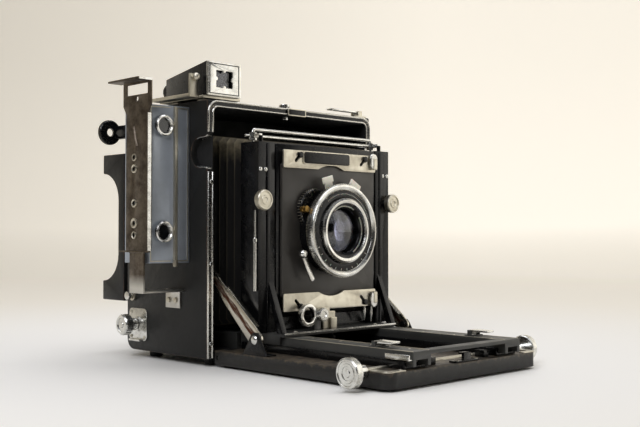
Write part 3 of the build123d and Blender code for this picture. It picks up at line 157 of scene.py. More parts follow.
# Bronze strip: plate worn through to brown bronze, with dark oxide in blotches.
bronze_strip = plated("tarnished_bronze_strip", "bronze_strip", "#6a6156", "#3b3129", (0.3, 0.5), 0.6, 0.9)
tree = bronze_strip.node_tree
height = add(tree, "ShaderNodeSeparateXYZ", {0: add(tree, "ShaderNodeTexCoord").outputs["Object"]}).outputs["Z"]
low = add(tree, "ShaderNodeMapRange", {"Value": height, "From Min": 64 * MM, "From Max": 54 * MM})
strip_tone = tree.nodes["Principled BSDF"].inputs["Base Color"].links[0].from_socket
tone = add(tree, "ShaderNodeMix", {0: low.outputs[0], 6: strip_tone, 7: paint("#c8c5bd")}, data_type="RGBA")
tree.links.new(tone.outputs[2], tree.nodes["Principled BSDF"].inputs["Base Color"])
# Brass: bare, finger-polished, slightly red.
bare_brass = plated("finger_polished_brass", "brass", "#b08d4e", "#7a5c30", (0.25, 0.4), 0.4, 0.5)

# %% [markdown]
# **Worn strut plate.** The bed struts were polished nickel, but the middle of each has rubbed through to a
# reddish brown, in streaks along the strip, because it slides against the bellows and hands every time.

# %% Strut finish
strut_finish, tree, shader = finish("rubbed_through_nickel", "satin_nickel", "#c6c1b4", 1.0, 0.3)
place = add(tree, "ShaderNodeTexCoord").outputs["Object"]
along = add(tree, "ShaderNodeMapping", {"Vector": place, "Rotation": (radians(-40.7), 0, 0)}, vector_type="POINT")
thin = add(tree, "ShaderNodeMapping", {"Vector": along.outputs[0], "Scale": (1, 0.12, 1)})
streak = add(tree, "ShaderNodeTexNoise", {"Vector": thin.outputs[0], "Scale": 1 / (2.2 * MM), "Detail": 8.0,
                                          "Roughness": 0.7})
across = add(tree, "ShaderNodeSeparateXYZ", {0: along.outputs[0]}).outputs["Z"]
middle = add(tree, "ShaderNodeMath", {0: across, 1: 79.0 * MM}, operation="SUBTRACT")
off = add(tree, "ShaderNodeMath", {0: middle.outputs[0]}, operation="ABSOLUTE")
band = add(tree, "ShaderNodeMapRange", {"Value": off.outputs[0], "From Min": 1.6 * MM, "From Max": 4.0 * MM,
                                        "To Min": 0.62, "To Max": 0.3})
mixed = add(tree, "ShaderNodeMath", {0: band.outputs[0], 1: streak.outputs[0]}, operation="ADD")
rubbed = add(tree, "ShaderNodeMapRange", {"Value": mixed.outputs[0], "From Min": 0.98, "From Max": 1.12})
tone = add(tree, "ShaderNodeMix", {0: rubbed.outputs[0], 6: paint("#c6c1b4"), 7: paint("#5b3a2c")},
           data_type="RGBA")
dull = add(tree, "ShaderNodeMapRange", {"Value": rubbed.outputs[0], "To Min": 0.24, "To Max": 0.6})
tree.links.new(tone.outputs[2], shader.inputs["Base Color"])
tree.links.new(dull.outputs[0], shader.inputs["Roughness"])
print("strut finish:", strut_finish.name)

# %% [markdown]
# **Stove enamel.** The standard, the rails and the inside of the bed are black enamel baked on brass. It keeps a
# satin shine, orange-peels slightly, and chips along edges, where the pale metal shows. Each mesh carries an
# "edge" value, 1 on the crown of a rounded edge, and noise breaks the line so that only some of it has chipped.

# %% Recipe for enamel


def enamelled(name, slot, colour, metal, rough, chipped, peel_mm=1.2, depth_mm=0.01):
    """Black enamel with chipped outer edges; chipped is how much of an edge has gone, from 0 to 1."""
    material, tree, shader = finish(name, slot, colour, 0.0, rough)
    place = add(tree, "ShaderNodeTexCoord").outputs["Object"]
    edge = add(tree, "ShaderNodeAttribute", attribute_name="edge").outputs["Fac"]
    flake = add(tree, "ShaderNodeTexNoise", {"Vector": place, "Scale": 1 / (1.1 * MM), "Detail": 5.0,
                                             "Roughness": 0.7})
    reach = add(tree, "ShaderNodeMapRange", {"Value": flake.outputs[0], "From Min": 0.3, "From Max": 0.7,
                                             "To Min": 0.75, "To Max": 2.2 - 1.2 * chipped})
    bare = add(tree, "ShaderNodeMath", {0: edge, 1: reach.outputs[0]}, operation="GREATER_THAN")
    tone = add(tree, "ShaderNodeMix", {0: bare.outputs[0], 6: paint(colour), 7: paint(metal)}, data_type="RGBA")
    dust = add(tree, "ShaderNodeTexNoise", {"Vector": place, "Scale": 1 / (14 * MM), "Detail": 6.0})
    dull = add(tree, "ShaderNodeMapRange", {"Value": dust.outputs[0], "From Min": 0.35, "From Max": 0.7,
                                            "To Min": rough - 0.06, "To Max": rough + 0.14})
    peel = add(tree, "ShaderNodeTexNoise", {"Vector": place, "Scale": 1 / (peel_mm * MM), "Detail": 2.0})
    bump = add(tree, "ShaderNodeBump", {"Height": peel.outputs[0], "Distance": depth_mm * MM, "Strength": 0.5})
    tree.links.new(tone.outputs[2], shader.inputs["Base Color"])
    tree.links.new(bare.outputs[0], shader.inputs["Metallic"])
    tree.links.new(dull.outputs[0], shader.inputs["Roughness"])
    tree.links.new(bump.outputs[0], shader.inputs["Normal"])
    return material


# Gloss enamel on the standard's channels.
black_enamel = enamelled("baked_black_enamel", "black_enamel", "#0e0e0f", "#a79f8e", 0.22, 0.45)
black_enamel.node_tree.nodes["Principled BSDF"].inputs["Specular IOR Level"].default_value = 0.3
# Chemically blackened steel on the rails: greyer and drier, bright along every edge that slides.
blackened_steel = enamelled("chemically_blackened_steel", "blackened_steel", "#3a3a37", "#b9b6ad", 0.42, 0.8)
# Flat black inside the body, where nothing may shine into the lens.
flat_black = enamelled("flat_black_lacquer", "black_enamel", "#0b0b0b", "#3a342c", 0.75, 0.1)
# Lacquered lens board: dark warm grey over wood, satin.
board_lacquer = enamelled("satin_board_lacquer", "panel_lacquer", "#393632", "#6d6456", 0.4, 0.2, 2.2, 0.02)

# %% [markdown]
# **Grained leather.** The body is cased in thin black cowhide, rolled to a fine pebble grain of about half a
# millimetre and dressed with wax. The grain is drawn at 0.8 mm so that it shows. Corners lose their dye and go
# brown. The bellows hide is thinner and drier, and the strap's is thick with a smooth face.

# %% Recipe for leather


def leather(name, slot, dye, hide, rough, grain_mm, depth_mm, worn, wear_mm=4.0):
    """Cells give the pebbles, noise bends them, and the dye is gone where an edge and a blotch meet."""
    material, tree, shader = finish(name, slot, dye, 0.0, rough, Specular_IOR_Level=0.35)
    place = add(tree, "ShaderNodeTexCoord").outputs["Object"]
    bend = add(tree, "ShaderNodeTexNoise", {"Vector": place, "Scale": 1 / (grain_mm * MM * 2), "Detail": 2.0})
    shift = add(tree, "ShaderNodeVectorMath", {0: bend.outputs["Color"], 3: grain_mm * MM * 0.9},
                operation="SCALE")
    bent = add(tree, "ShaderNodeVectorMath", {0: place, 1: shift.outputs[0]}, operation="ADD")
    pebble = add(tree, "ShaderNodeTexVoronoi", {"Vector": bent.outputs[0], "Scale": 1 / (grain_mm * MM)},
                 feature="SMOOTH_F1")
    edge = add(tree, "ShaderNodeAttribute", attribute_name="edge").outputs["Fac"]
    blotch = add(tree, "ShaderNodeTexNoise", {"Vector": place, "Scale": 1 / (wear_mm * MM), "Detail": 7.0,
                                              "Roughness": 0.7})
    reach = add(tree, "ShaderNodeMapRange", {"Value": blotch.outputs[0], "From Min": 0.3, "From Max": 0.7,
                                             "To Min": 0.2, "To Max": 1.6 - 1.1 * worn})
    over = add(tree, "ShaderNodeMath", {0: edge, 1: reach.outputs[0]}, operation="SUBTRACT")
    gone = add(tree, "ShaderNodeMapRange", {"Value": over.outputs[0], "From Min": -0.1, "From Max": 0.35})
    tone = add(tree, "ShaderNodeMix", {0: gone.outputs[0], 6: paint(dye), 7: paint(hide)}, data_type="RGBA")
    dull = add(tree, "ShaderNodeMapRange", {"Value": blotch.outputs[0], "From Min": 0.3, "From Max": 0.75,
                                            "To Min": rough - 0.08, "To Max": rough + 0.14})
    bump = add(tree, "ShaderNodeBump", {"Height": pebble.outputs[0], "Distance": depth_mm * MM, "Strength": 0.7},
               invert=True)
    tree.links.new(tone.outputs[2], shader.inputs["Base Color"])
    tree.links.new(dull.outputs[0], shader.inputs["Roughness"])
    tree.links.new(bump.outputs[0], shader.inputs["Normal"])
    return material, tree, shader, tone


body_leather = leather("waxed_black_cowhide", "black_leather", "#191918", "#4d3a2c", 0.42, 0.8, 0.05, 0.35)[0]
bed_leather, tree, shader, tone = leather("rubbed_bed_cowhide", "black_leather", "#242321", "#5c5142", 0.46, 0.8,
                                          0.05, 0.95, 7.0)
strap_leather = leather("thick_harness_leather", "strap_leather", "#2a211b", "#6a4c34", 0.4, 1.4, 0.03, 0.6)[0]
# The bed's rim is rubbed brown for its top few millimetres, where hands pull it open.
place = add(tree, "ShaderNodeTexCoord").outputs["Object"]
height = add(tree, "ShaderNodeSeparateXYZ", {0: place}).outputs["Z"]
rub = add(tree, "ShaderNodeTexNoise", {"Vector": place, "Scale": 1 / (6 * MM), "Detail": 8.0, "Roughness": 0.75})
up = add(tree, "ShaderNodeMapRange", {"Value": height, "From Min": 0.5 * MM, "From Max": 7.4 * MM, "To Max": 0.5})
both = add(tree, "ShaderNodeMath", {0: up.outputs[0], 1: rub.outputs[0]}, operation="ADD")
top_wear = add(tree, "ShaderNodeMapRange", {"Value": both.outputs[0], "From Min": 0.86, "From Max": 1.06})
tree.links.new(top_wear.outputs[0], tone.inputs[0])
linen_thread, tree, shader = finish("waxed_linen_thread", "strap_leather", "#8a7a5e", 0.0, 0.6)
twist = add(tree, "ShaderNodeTexWave", {"Vector": add(tree, "ShaderNodeTexCoord").outputs["Object"],
                                        "Scale": 0.314 / (0.5 * MM)}, bands_direction="DIAGONAL")
ply = add(tree, "ShaderNodeMix", {0: twist.outputs["Fac"], 6: paint("#75664c"), 7: paint("#a3926f")},
          data_type="RGBA")
tree.links.new(ply.outputs[2], shader.inputs["Base Color"])
print("leather finishes:", [m.name for m in (body_leather, bed_leather, strap_leather)])

# %% [markdown]
# ** Bellows hide.** The bellows is thin goat leather over cloth. Its outer creases are lightened grey-brown, most of all
# at the top corners: partly rubbed wear and partly a painted highlight on the ridges and upper corners. The mesh
# carries a "crease" value from 0 in a valley to 1 on a ridge, and a "corner" value, and the shader mixes in the pale
# hide colour where both are high and a blotch agrees.

# %% Bellows finish
bellows_leather, tree, shader, tone = leather("creased_bellows_goatskin", "bellows_leather", "#1d1c1b", "#8c8168",
                                              0.5, 0.9, 0.04, 0.0)
crease = add(tree, "ShaderNodeAttribute", attribute_name="crease").outputs["Fac"]
corner = add(tree, "ShaderNodeAttribute", attribute_name="corner").outputs["Fac"]
place = add(tree, "ShaderNodeTexCoord").outputs["Object"]
blotch = add(tree, "ShaderNodeTexNoise", {"Vector": place, "Scale": 1 / (5 * MM), "Detail": 6.0, "Roughness": 0.7})
# Ridges and top corners are lightened in colour: partly rubbed wear, partly painted highlight.
sharp = add(tree, "ShaderNodeMath", {0: crease, 1: 14.0}, operation="POWER")
ridge = add(tree, "ShaderNodeMath", {0: sharp.outputs[0], 1: 0.3}, operation="MULTIPLY")
corner_wear_and_highlight = add(tree, "ShaderNodeMath", {0: corner, 1: blotch.outputs[0]}, operation="MULTIPLY")
wear_and_highlight_sum = add(tree, "ShaderNodeMath", {0: ridge.outputs[0], 1: corner_wear_and_highlight.outputs[0]}, operation="ADD")
worn = add(tree, "ShaderNodeMapRange", {"Value": wear_and_highlight_sum.outputs[0], "From Min": 0.12, "From Max": 0.7})
tree.links.new(worn.outputs[0], tone.inputs[0])
print("bellows finish:", bellows_leather.name)

# %% [markdown]
# **The small finishes.** Celluloid tabs have yellowed like ivory, with a faint cloud inside, so they scatter light.
# Rubber feet are dusty. The shutter curtain is rubberised cloth with a fine weave. Front glass is clear, coated for
# a violet reflection, and the focusing glass is ground to a milky tooth on one side.

# %% Celluloid, rubber, cloth and glass
ivory_tab, tree, shader = finish("yellowed_celluloid", "ivory_tab", "#e9e4d2", 0.0, 0.35, Subsurface_Weight=0.2,
                                 Subsurface_Scale=0.001)
cloud = add(tree, "ShaderNodeTexNoise", {"Vector": add(tree, "ShaderNodeTexCoord").outputs["Object"],
                                         "Scale": 1 / (2 * MM), "Detail": 4.0})
tone = add(tree, "ShaderNodeMix", {0: cloud.outputs[0], 6: paint("#fdfbf2"), 7: paint("#efe8d2")},
           data_type="RGBA")
tree.links.new(tone.outputs[2], shader.inputs["Base Color"])

rubber_foot, tree, shader = finish("dusty_black_rubber", "rubber_foot", "#161616", 0.0, 0.8)
dust = add(tree, "ShaderNodeTexNoise", {"Vector": add(tree, "ShaderNodeTexCoord").outputs["Object"],
                                        "Scale": 1 / (1.5 * MM), "Detail": 5.0})
tone = add(tree, "ShaderNodeMix", {0: dust.outputs[0], 6: paint("#0f0f0f"), 7: paint("#2c2b29")},
           data_type="RGBA")
tree.links.new(tone.outputs[2], shader.inputs["Base Color"])

# The real cloth has about 30 threads to the centimetre; they are drawn at 0.7 mm so that the weave shows.
curtain_cloth, tree, shader = finish("rubberised_curtain_cloth", "shutter_cloth", "#1a1a1b", 0.0, 0.7,
                                     Sheen_Weight=0.3)
place = add(tree, "ShaderNodeTexCoord").outputs["Object"]
warp_thread = add(tree, "ShaderNodeTexWave", {"Vector": place, "Scale": 0.314 / (0.7 * MM)}, bands_direction="X")
weft_thread = add(tree, "ShaderNodeTexWave", {"Vector": place, "Scale": 0.314 / (0.7 * MM)}, bands_direction="Z")
over = add(tree, "ShaderNodeMath", {0: warp_thread.outputs["Fac"], 1: weft_thread.outputs["Fac"]},
           operation="MAXIMUM")
bump = add(tree, "ShaderNodeBump", {"Height": over.outputs[0], "Distance": 0.05 * MM})
tree.links.new(bump.outputs[0], shader.inputs["Normal"])

clear_glass, tree, shader = finish("coated_optical_glass", "glass", "#e6e8f6", 0.0, 0.02, IOR=1.55,
                                   Transmission_Weight=1.0, Coat_Weight=0.3, Coat_Roughness=0.02)
haze = add(tree, "ShaderNodeTexNoise", {"Vector": add(tree, "ShaderNodeTexCoord").outputs["Object"],
                                        "Scale": 1 / (6 * MM), "Detail": 5.0})
film = add(tree, "ShaderNodeMapRange", {"Value": haze.outputs[0], "From Min": 0.4, "From Max": 0.8,
                                        "To Min": 0.01, "To Max": 0.09})
tree.links.new(film.outputs[0], shader.inputs["Roughness"])

milky_glass, tree, shader = finish("ground_focusing_glass", "ground_glass", "#dfe3e2", 0.0, 0.45, IOR=1.52,
                                   Transmission_Weight=0.7)
tooth = add(tree, "ShaderNodeTexNoise", {"Vector": add(tree, "ShaderNodeTexCoord").outputs["Object"],
                                         "Scale": 1 / (0.3 * MM), "Detail": 2.0})
bump = add(tree, "ShaderNodeBump", {"Height": tooth.outputs[0], "Distance": 0.02 * MM})
tree.links.new(bump.outputs[0], shader.inputs["Normal"])

# %% [markdown]
# **Shop tools.** Real parts are turned, sawn from sheet, folded or drawn through a die. The same four moves make
# almost every mesh here: `worked` takes a CAD part, joins its triangles and breaks its edges; `turned` spins an
# outline; `sawn` cuts a plate with holes from a flat drawing; `drawn` pulls a section along a path.

# %% Shop tools
PIECES = []


def mark_edges(mesh):
    """Stores 1 where the surface bends outwards by 45 degrees or more at a point, and 0 where it is flat."""
    bm = bmesh.new()
    bm.from_mesh(mesh)
    slim = {f: f.calc_area() / max(e.calc_length() for e in f.edges) < 2.0 * MM for f in bm.faces}
    values = []
    for vert in bm.verts:
        bend = max((e.calc_face_angle_signed(0.0) for e in vert.link_edges), default=0.0)
        crown = all(slim[f] for f in vert.link_faces)
        values.append(min(1.0, max(0.0, (bend - radians(28)) / radians(14))) if crown else 0.0)
    bm.free()
    edge = mesh.attributes.get("edge") or mesh.attributes.new("edge", "FLOAT", "POINT")
    edge.data.foreach_set("value", values)


def put(mesh, name, body, material, replaces=(), smooth=32):
    """Shows a finished mesh as one piece: its place is in the mesh, and it rides on a body of the frame."""
    mesh.name = name
    piece = bpy.data.objects.new(name, mesh)
    bpy.context.scene.collection.objects.link(piece)
    mesh.materials.clear()
    mesh.materials.append(material)
    mesh.shade_smooth()
    mesh.set_sharp_from_angle(angle=radians(smooth))
    mark_edges(mesh)
    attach(piece, body)
    if replaces:
        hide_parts(*replaces)
    PIECES.append(piece)
    return piece


def settled(draft, *modifiers):
    """Runs modifiers on a draft mesh or curve and returns the plain mesh; each is (kind, settings)."""
    holder = bpy.data.objects.new("draft", draft)
    bpy.context.scene.collection.objects.link(holder)
    for kind, settings in modifiers:
        modifier = holder.modifiers.new(kind.lower(), kind)
        for key, value in settings.items():
            setattr(modifier, key, value)
    shown = holder.evaluated_get(bpy.context.evaluated_depsgraph_get())
    mesh = bpy.data.meshes.new_from_object(shown)
    bpy.data.objects.remove(holder)
    return mesh


def broken_edges(width_mm, segments=2):
    """The modifiers that round a part's edges and keep its flats flat."""
    bevel = {"width": width_mm * MM, "segments": segments, "limit_method": "ANGLE", "angle_limit": radians(32),
             "use_clamp_overlap": True}
    return ("BEVEL", bevel), ("WEIGHTED_NORMAL", {"keep_sharp": True})


def from_bmesh(bm):
    mesh = bpy.data.meshes.new("draft")
    bm.to_mesh(mesh)
    bm.free()
    return mesh


def joined(*meshes):
    """Several meshes as one."""
    bm = bmesh.new()
    for mesh in meshes:
        bm.from_mesh(mesh)
    return from_bmesh(bm)


def cad_copy(node):
    """A CAD part's mesh with its corners merged and its flat triangles joined."""
    bm = bmesh.new()
    bm.from_mesh(frame["nodes"][node].data)
    bmesh.ops.remove_doubles(bm, verts=bm.verts, dist=0.002 * MM)
    bmesh.ops.dissolve_limit(bm, angle_limit=radians(0.6), verts=bm.verts, edges=bm.edges)
    return from_bmesh(bm)


def worked(node, width_mm, segments=2):
    return settled(cad_copy(node), *broken_edges(width_mm, segments))


AXES = {"x": Matrix.Rotation(radians(90), 4, "Y"), "-x": Matrix.Rotation(radians(-90), 4, "Y"),
        "y": Matrix.Rotation(radians(-90), 4, "X"), "-y": Matrix.Rotation(radians(90), 4, "X"),
        "z": Matrix.Identity(4), "-z": Matrix.Rotation(radians(180), 4, "X")}


def at(spot, axis="z", turn=0.0):
    """The matrix that stands a part's own Z along an axis at a spot given in millimetres."""
    return Matrix.Translation(Vector(spot) * MM) @ AXES[axis] @ Matrix.Rotation(radians(turn), 4, "Z")


def turned(outline, spot, axis="z", sides=64):
    """Spins a closed outline of (radius, height) in millimetres; a radius of 0 closes the part on its axis."""
    bm = bmesh.new()
    rings = []
    for radius, height in outline:
        if radius == 0:
            rings.append([bm.verts.new((0, 0, height * MM))] * sides)
        else:
            turns = [2 * pi * k / sides for k in range(sides)]
            rings.append([bm.verts.new((radius * MM * cos(t), radius * MM * sin(t), height * MM)) for t in turns])
    loop = outline[0][0] != 0
    for k in range(len(rings) if loop else len(rings) - 1):
        low, high = rings[k], rings[(k + 1) % len(rings)]
        for i in range(sides):
            j = (i + 1) % sides
            corners = list(dict.fromkeys([low[i], low[j], high[j], high[i]]))
            if len(corners) > 2:
                bm.faces.new(corners)
    bmesh.ops.recalc_face_normals(bm, faces=bm.faces)
    mesh = from_bmesh(bm)
    mesh.transform(at(spot, axis))
    return mesh


def rounded(corners, radius, steps=6):
    """A flat outline with each corner turned on a radius; corners may carry their own as a third number."""
    points = []
    for i, corner in enumerate(corners):
        here = Vector(corner[:2])
        size = corner[2] if len(corner) > 2 else radius
        if size == 0:
            points.append(tuple(here))
            continue
        back = (Vector(corners[i - 1][:2]) - here).normalized()
        ahead = (Vector(corners[(i + 1) % len(corners)][:2]) - here).normalized()
        half = back.angle(ahead) / 2
        reach = size / max(1e-6, abs(sin(half) / cos(half)))
        centre = here + (back + ahead).normalized() * (size / sin(half))
        start = here + back * reach - centre
        sweep = (here + ahead * reach - centre).angle_signed(start)
        for k in range(steps + 1):
            turn = sweep * k / steps
            points.append(tuple(centre + Matrix.Rotation(turn, 2) @ start))
    return points


def circle_points(x, y, radius, sides=32):
    return [(x + radius * cos(2 * pi * k / sides), y + radius * sin(2 * pi * k / sides)) for k in range(sides)]


def sawn(outline, holes, thickness_mm, place, edge_mm=0.3):
    """A plate sawn from flat stock: an outline and its holes in millimetres, with both faces' edges eased."""
    drawing = bpy.data.curves.new("drawing", "CURVE")
    drawing.dimensions = "2D"
    drawing.fill_mode = "BOTH"
    for ring in [outline, *holes]:
        spline = drawing.splines.new("POLY")
        spline.points.add(len(ring) - 1)
        for point, (x, y) in zip(spline.points, ring):
            point.co = (x * MM, y * MM, 0, 1)
        spline.use_cyclic_u = True
    drawing.extrude = (thickness_mm / 2 - edge_mm) * MM
    drawing.bevel_depth = edge_mm * MM
    drawing.bevel_resolution = 1
    drawing.offset = -edge_mm * MM
    mesh = settled(drawing)
    bm = bmesh.new()
    bm.from_mesh(mesh)
    bmesh.ops.remove_doubles(bm, verts=bm.verts, dist=0.002 * MM)
    bmesh.ops.recalc_face_normals(bm, faces=bm.faces)
    mesh = from_bmesh(bm)
    mesh.transform(place)
    return mesh


def drawn(path, section, side, closed=False):
    """Pulls a section of (across, out) millimetres along a path of points; side is the path's own out direction."""
    out = Vector(side).normalized()
    spots = [Vector(p) * MM for p in path]
    count = len(spots)
    bm = bmesh.new()
    rings = []
    for i, spot in enumerate(spots):
        before = spots[i - 1] if i or closed else spots[i]
        after = spots[(i + 1) % count] if i < count - 1 or closed else spots[i]
        run_in = (spot - before).normalized() if (spot - before).length else (after - spot).normalized()
        run_out = (after - spot).normalized() if (after - spot).length else run_in
        across = (run_in + run_out).normalized().cross(out)
        stretch = 1 / max(0.4, (run_in + run_out).length / 2)
        rings.append([bm.verts.new(spot + across * (a * MM * stretch) + out * (o * MM)) for a, o in section])
    for i in range(count if closed else count - 1):
        low, high = rings[i], rings[(i + 1) % count]
        for k in range(len(section)):
            m = (k + 1) % len(section)
            bm.faces.new((low[k], low[m], high[m], high[k]))
    if not closed:
        bm.faces.new(rings[0])
        bm.faces.new(rings[-1])
    bmesh.ops.recalc_face_normals(bm, faces=bm.faces)
    return from_bmesh(bm)


def round_section(radius, sides=12):
    return [(radius * cos(2 * pi * k / sides), radius * sin(2 * pi * k / sides)) for k in range(sides)]


FRONT_PLANE = Matrix.Rotation(radians(90), 4, "X")
print("shop tools ready")

# %% [markdown]
# **Growing what repeats.** Knurls, screws, pleats and stitches are the same small shape many times over, so a
# Geometry Nodes tree makes each kind. A tree has named sizes on its modifier, and its result is taken as a plain
# mesh. Sizes are set by the socket's identifier before the tree first runs.

# %% Tree helpers


def new_tree(name, *sizes):
    """A geometry tree with a geometry socket each way and one named input for every (name, kind, default)."""
    tree = bpy.data.node_groups.new(name, "GeometryNodeTree")
    tree.interface.new_socket("Geometry", in_out="OUTPUT", socket_type="NodeSocketGeometry")
    tree.interface.new_socket("Geometry", in_out="INPUT", socket_type="NodeSocketGeometry")
    for label, kind, default in sizes:
        socket = tree.interface.new_socket(label, in_out="INPUT", socket_type="NodeSocket" + kind)
        if default is not None:
            socket.default_value = default
    given = tree.nodes.new("NodeGroupInput")
    return tree, given


def close_tree(tree, geometry, material):
    """Ends a tree in real geometry that carries its material."""
    real = add(tree, "GeometryNodeRealizeInstances", {"Geometry": geometry})
    painted = add(tree, "GeometryNodeSetMaterial", {"Geometry": real.outputs[0], "Material": material})
    add(tree, "NodeGroupOutput", {0: painted.outputs[0]})


def grown(tree, sizes, seed_mesh=None):
    """Runs a tree with its sizes given by name, and returns the plain mesh."""
    holder = bpy.data.objects.new("draft", seed_mesh or bpy.data.meshes.new("draft"))
    bpy.context.scene.collection.objects.link(holder)
    modifier = holder.modifiers.new("grow", "NODES")
    modifier.node_group = tree
    sockets = {item.name: item.identifier for item in tree.interface.items_tree if item.in_out == "INPUT"}
    for label, value in sizes.items():
        modifier[sockets[label]] = value
    mesh = bpy.data.meshes.new_from_object(holder.evaluated_get(bpy.context.evaluated_depsgraph_get()))
    bpy.data.objects.remove(holder)
    return mesh


print("tree helpers ready")

# %% [markdown]
# **Knurls and teeth.** A knurling wheel presses straight ribs into a rim so that fingers grip it. One tree sets a
# small block at every step round a circle, turned to face out. The same tree cuts the ticks on the lens rings: a
# tick is only a very flat rib.

# %% Knurl tree
knurl_tree, given = new_tree("knurled_rim", ("Radius", "Float", 0.01), ("Count", "Int", 60),
                             ("Width", "Float", 0.0004), ("Length", "Float", 0.004), ("Depth", "Float", 0.0006),
                             ("Start", "Float", 0.0), ("Sweep", "Float", 2 * pi), ("Material", "Material", None))
order = add(knurl_tree, "GeometryNodeInputIndex")
share = add(knurl_tree, "ShaderNodeMath", {0: order.outputs[0], 1: given.outputs["Count"]}, operation="DIVIDE")
angle = add(knurl_tree, "ShaderNodeMath", {0: share.outputs[0], 1: given.outputs["Sweep"],
                                           2: given.outputs["Start"]}, operation="MULTIPLY_ADD")
spin = add(knurl_tree, "ShaderNodeCombineXYZ", {"Z": angle.outputs[0]})
arm = add(knurl_tree, "ShaderNodeCombineXYZ", {"X": given.outputs["Radius"]})
place = add(knurl_tree, "ShaderNodeVectorRotate", {"Vector": arm.outputs[0], "Rotation": spin.outputs[0]},
            rotation_type="EULER_XYZ")
spots = add(knurl_tree, "GeometryNodePoints", {"Count": given.outputs["Count"], "Position": place.outputs[0]})
rib_size = add(knurl_tree, "ShaderNodeCombineXYZ", {"X": given.outputs["Depth"], "Y": given.outputs["Width"],
                                                    "Z": given.outputs["Length"]})
rib = add(knurl_tree, "GeometryNodeMeshCube", {"Size": rib_size.outputs[0]})
ribs = add(knurl_tree, "GeometryNodeInstanceOnPoints", {"Points": spots.outputs[0], "Instance": rib.outputs[0],
                                                        "Rotation": spin.outputs[0]})
close_tree(knurl_tree, ribs.outputs[0], given.outputs["Material"])


def knurls(radius, count, width, length, depth, spot, axis, material, start=0.0, sweep=360.0):
    """Ribs round a rim; sizes in millimetres, angles in degrees, length along the rim's axis."""
    mesh = grown(knurl_tree, {"Radius": radius * MM, "Count": count, "Width": width * MM, "Length": length * MM,
                              "Depth": depth * MM, "Start": radians(start), "Sweep": radians(sweep),
                              "Material": material})
    mesh.transform(at(spot, axis))
    return mesh


print("knurl tree has", len(knurl_tree.nodes), "nodes")

# %% [markdown]
# **Slotted screws.** Every plate is held by small oval-head screws, and no two slots line up. The tree cuts a slot
# in a flattened ball and sets one on each point, facing the way the point says, at a random turn with a fixed seed.

# %% Screw tree
screw_tree, given = new_tree("slotted_screws", ("Radius", "Float", 0.002), ("Seed", "Int", 4),
                             ("Material", "Material", None))
ball = add(screw_tree, "GeometryNodeMeshUVSphere", {"Segments": 20, "Rings": 10, "Radius": given.outputs["Radius"]})
flat = add(screw_tree, "GeometryNodeTransform", {"Geometry": ball.outputs[0], "Scale": (1, 1, 0.42)})
long_side = add(screw_tree, "ShaderNodeMath", {0: given.outputs["Radius"], 1: 2.4}, operation="MULTIPLY")
slot_width = add(screw_tree, "ShaderNodeMath", {0: given.outputs["Radius"], 1: 0.3}, operation="MULTIPLY")
slot_size = add(screw_tree, "ShaderNodeCombineXYZ", {"X": long_side.outputs[0], "Y": slot_width.outputs[0],
                                                     "Z": slot_width.outputs[0]})
slot_up = add(screw_tree, "ShaderNodeMath", {0: given.outputs["Radius"], 1: 0.4}, operation="MULTIPLY")
slot_place = add(screw_tree, "ShaderNodeCombineXYZ", {"Z": slot_up.outputs[0]})
cutter = add(screw_tree, "GeometryNodeMeshCube", {"Size": slot_size.outputs[0]})
cutter = add(screw_tree, "GeometryNodeTransform", {"Geometry": cutter.outputs[0],
                                                   "Translation": slot_place.outputs[0]})
head = add(screw_tree, "GeometryNodeMeshBoolean", {"Mesh 1": flat.outputs[0], "Mesh 2": cutter.outputs[0]},
           operation="DIFFERENCE")
facing = add(screw_tree, "GeometryNodeInputNamedAttribute", {"Name": "facing"}, data_type="FLOAT_VECTOR")
aimed = add(screw_tree, "FunctionNodeAlignRotationToVector", {"Vector": facing.outputs[0]}, axis="Z")
loose = add(screw_tree, "FunctionNodeRandomValue", {"Max": (0, 0, pi), "Seed": given.outputs["Seed"]},
            data_type="FLOAT_VECTOR")
twist = add(screw_tree, "FunctionNodeRotateRotation", {0: aimed.outputs[0], 1: loose.outputs[0]},
            rotation_space="LOCAL")
heads = add(screw_tree, "GeometryNodeInstanceOnPoints", {"Points": given.outputs["Geometry"],
                                                         "Instance": head.outputs[0], "Rotation": twist.outputs[0]})
close_tree(screw_tree, heads.outputs[0], given.outputs["Material"])


def screws(name, body, spots, facing, radius_mm, material, seed=4):
    """One piece of screw heads at spots in millimetres, all facing one way."""
    bed = bpy.data.meshes.new("spots")
    bed.from_pydata([Vector(s) * MM for s in spots], [], [])
    way = bed.attributes.new("facing", "FLOAT_VECTOR", "POINT")
    way.data.foreach_set("vector", list(facing) * len(spots))
    mesh = grown(screw_tree, {"Radius": radius_mm * MM, "Seed": seed, "Material": material}, bed)
    return put(mesh, name, body, material)


print("screw tree has", len(screw_tree.nodes), "nodes")

# %% [markdown]
# # The body
# The body is a mahogany box cased in leather, open at the front and back. Its rear edges are rounded, and each
# side wall has a finger notch at the front. It could be one cast block with a hole, but sawing the side view from
# thick stock and hollowing it, as here, rounds every leather edge in the same go.

# %% Leather-cased body
FRONT, REAR, HALF_W, BODY_H, WALL = -53.0, 53.0, 90.0, 196.0, 5.5
NOTCH_Z, NOTCH_R, NOTCH_IN = 156.3, 11.5, 20.0
side_view = rounded([(FRONT, 0, 1.0), (REAR, 0, 9.0), (REAR, BODY_H, 9.0), (FRONT, BODY_H, 1.5),
                     (FRONT, NOTCH_Z + NOTCH_R, 3.0), (FRONT + NOTCH_IN, NOTCH_Z + NOTCH_R, NOTCH_R - 0.1),
                     (FRONT + NOTCH_IN, NOTCH_Z - NOTCH_R, NOTCH_R - 0.1), (FRONT, NOTCH_Z - NOTCH_R, 3.0)], 1.0, 8)
SIDE_PLANE = Matrix(((0, 0, 1, 0), (1, 0, 0, 0), (0, 1, 0, 0), (0, 0, 0, 1)))
solid_body = sawn(side_view, [], 2 * HALF_W, SIDE_PLANE, 1.2)
hollow = bmesh.new()
bmesh.ops.create_cube(hollow, size=1.0)
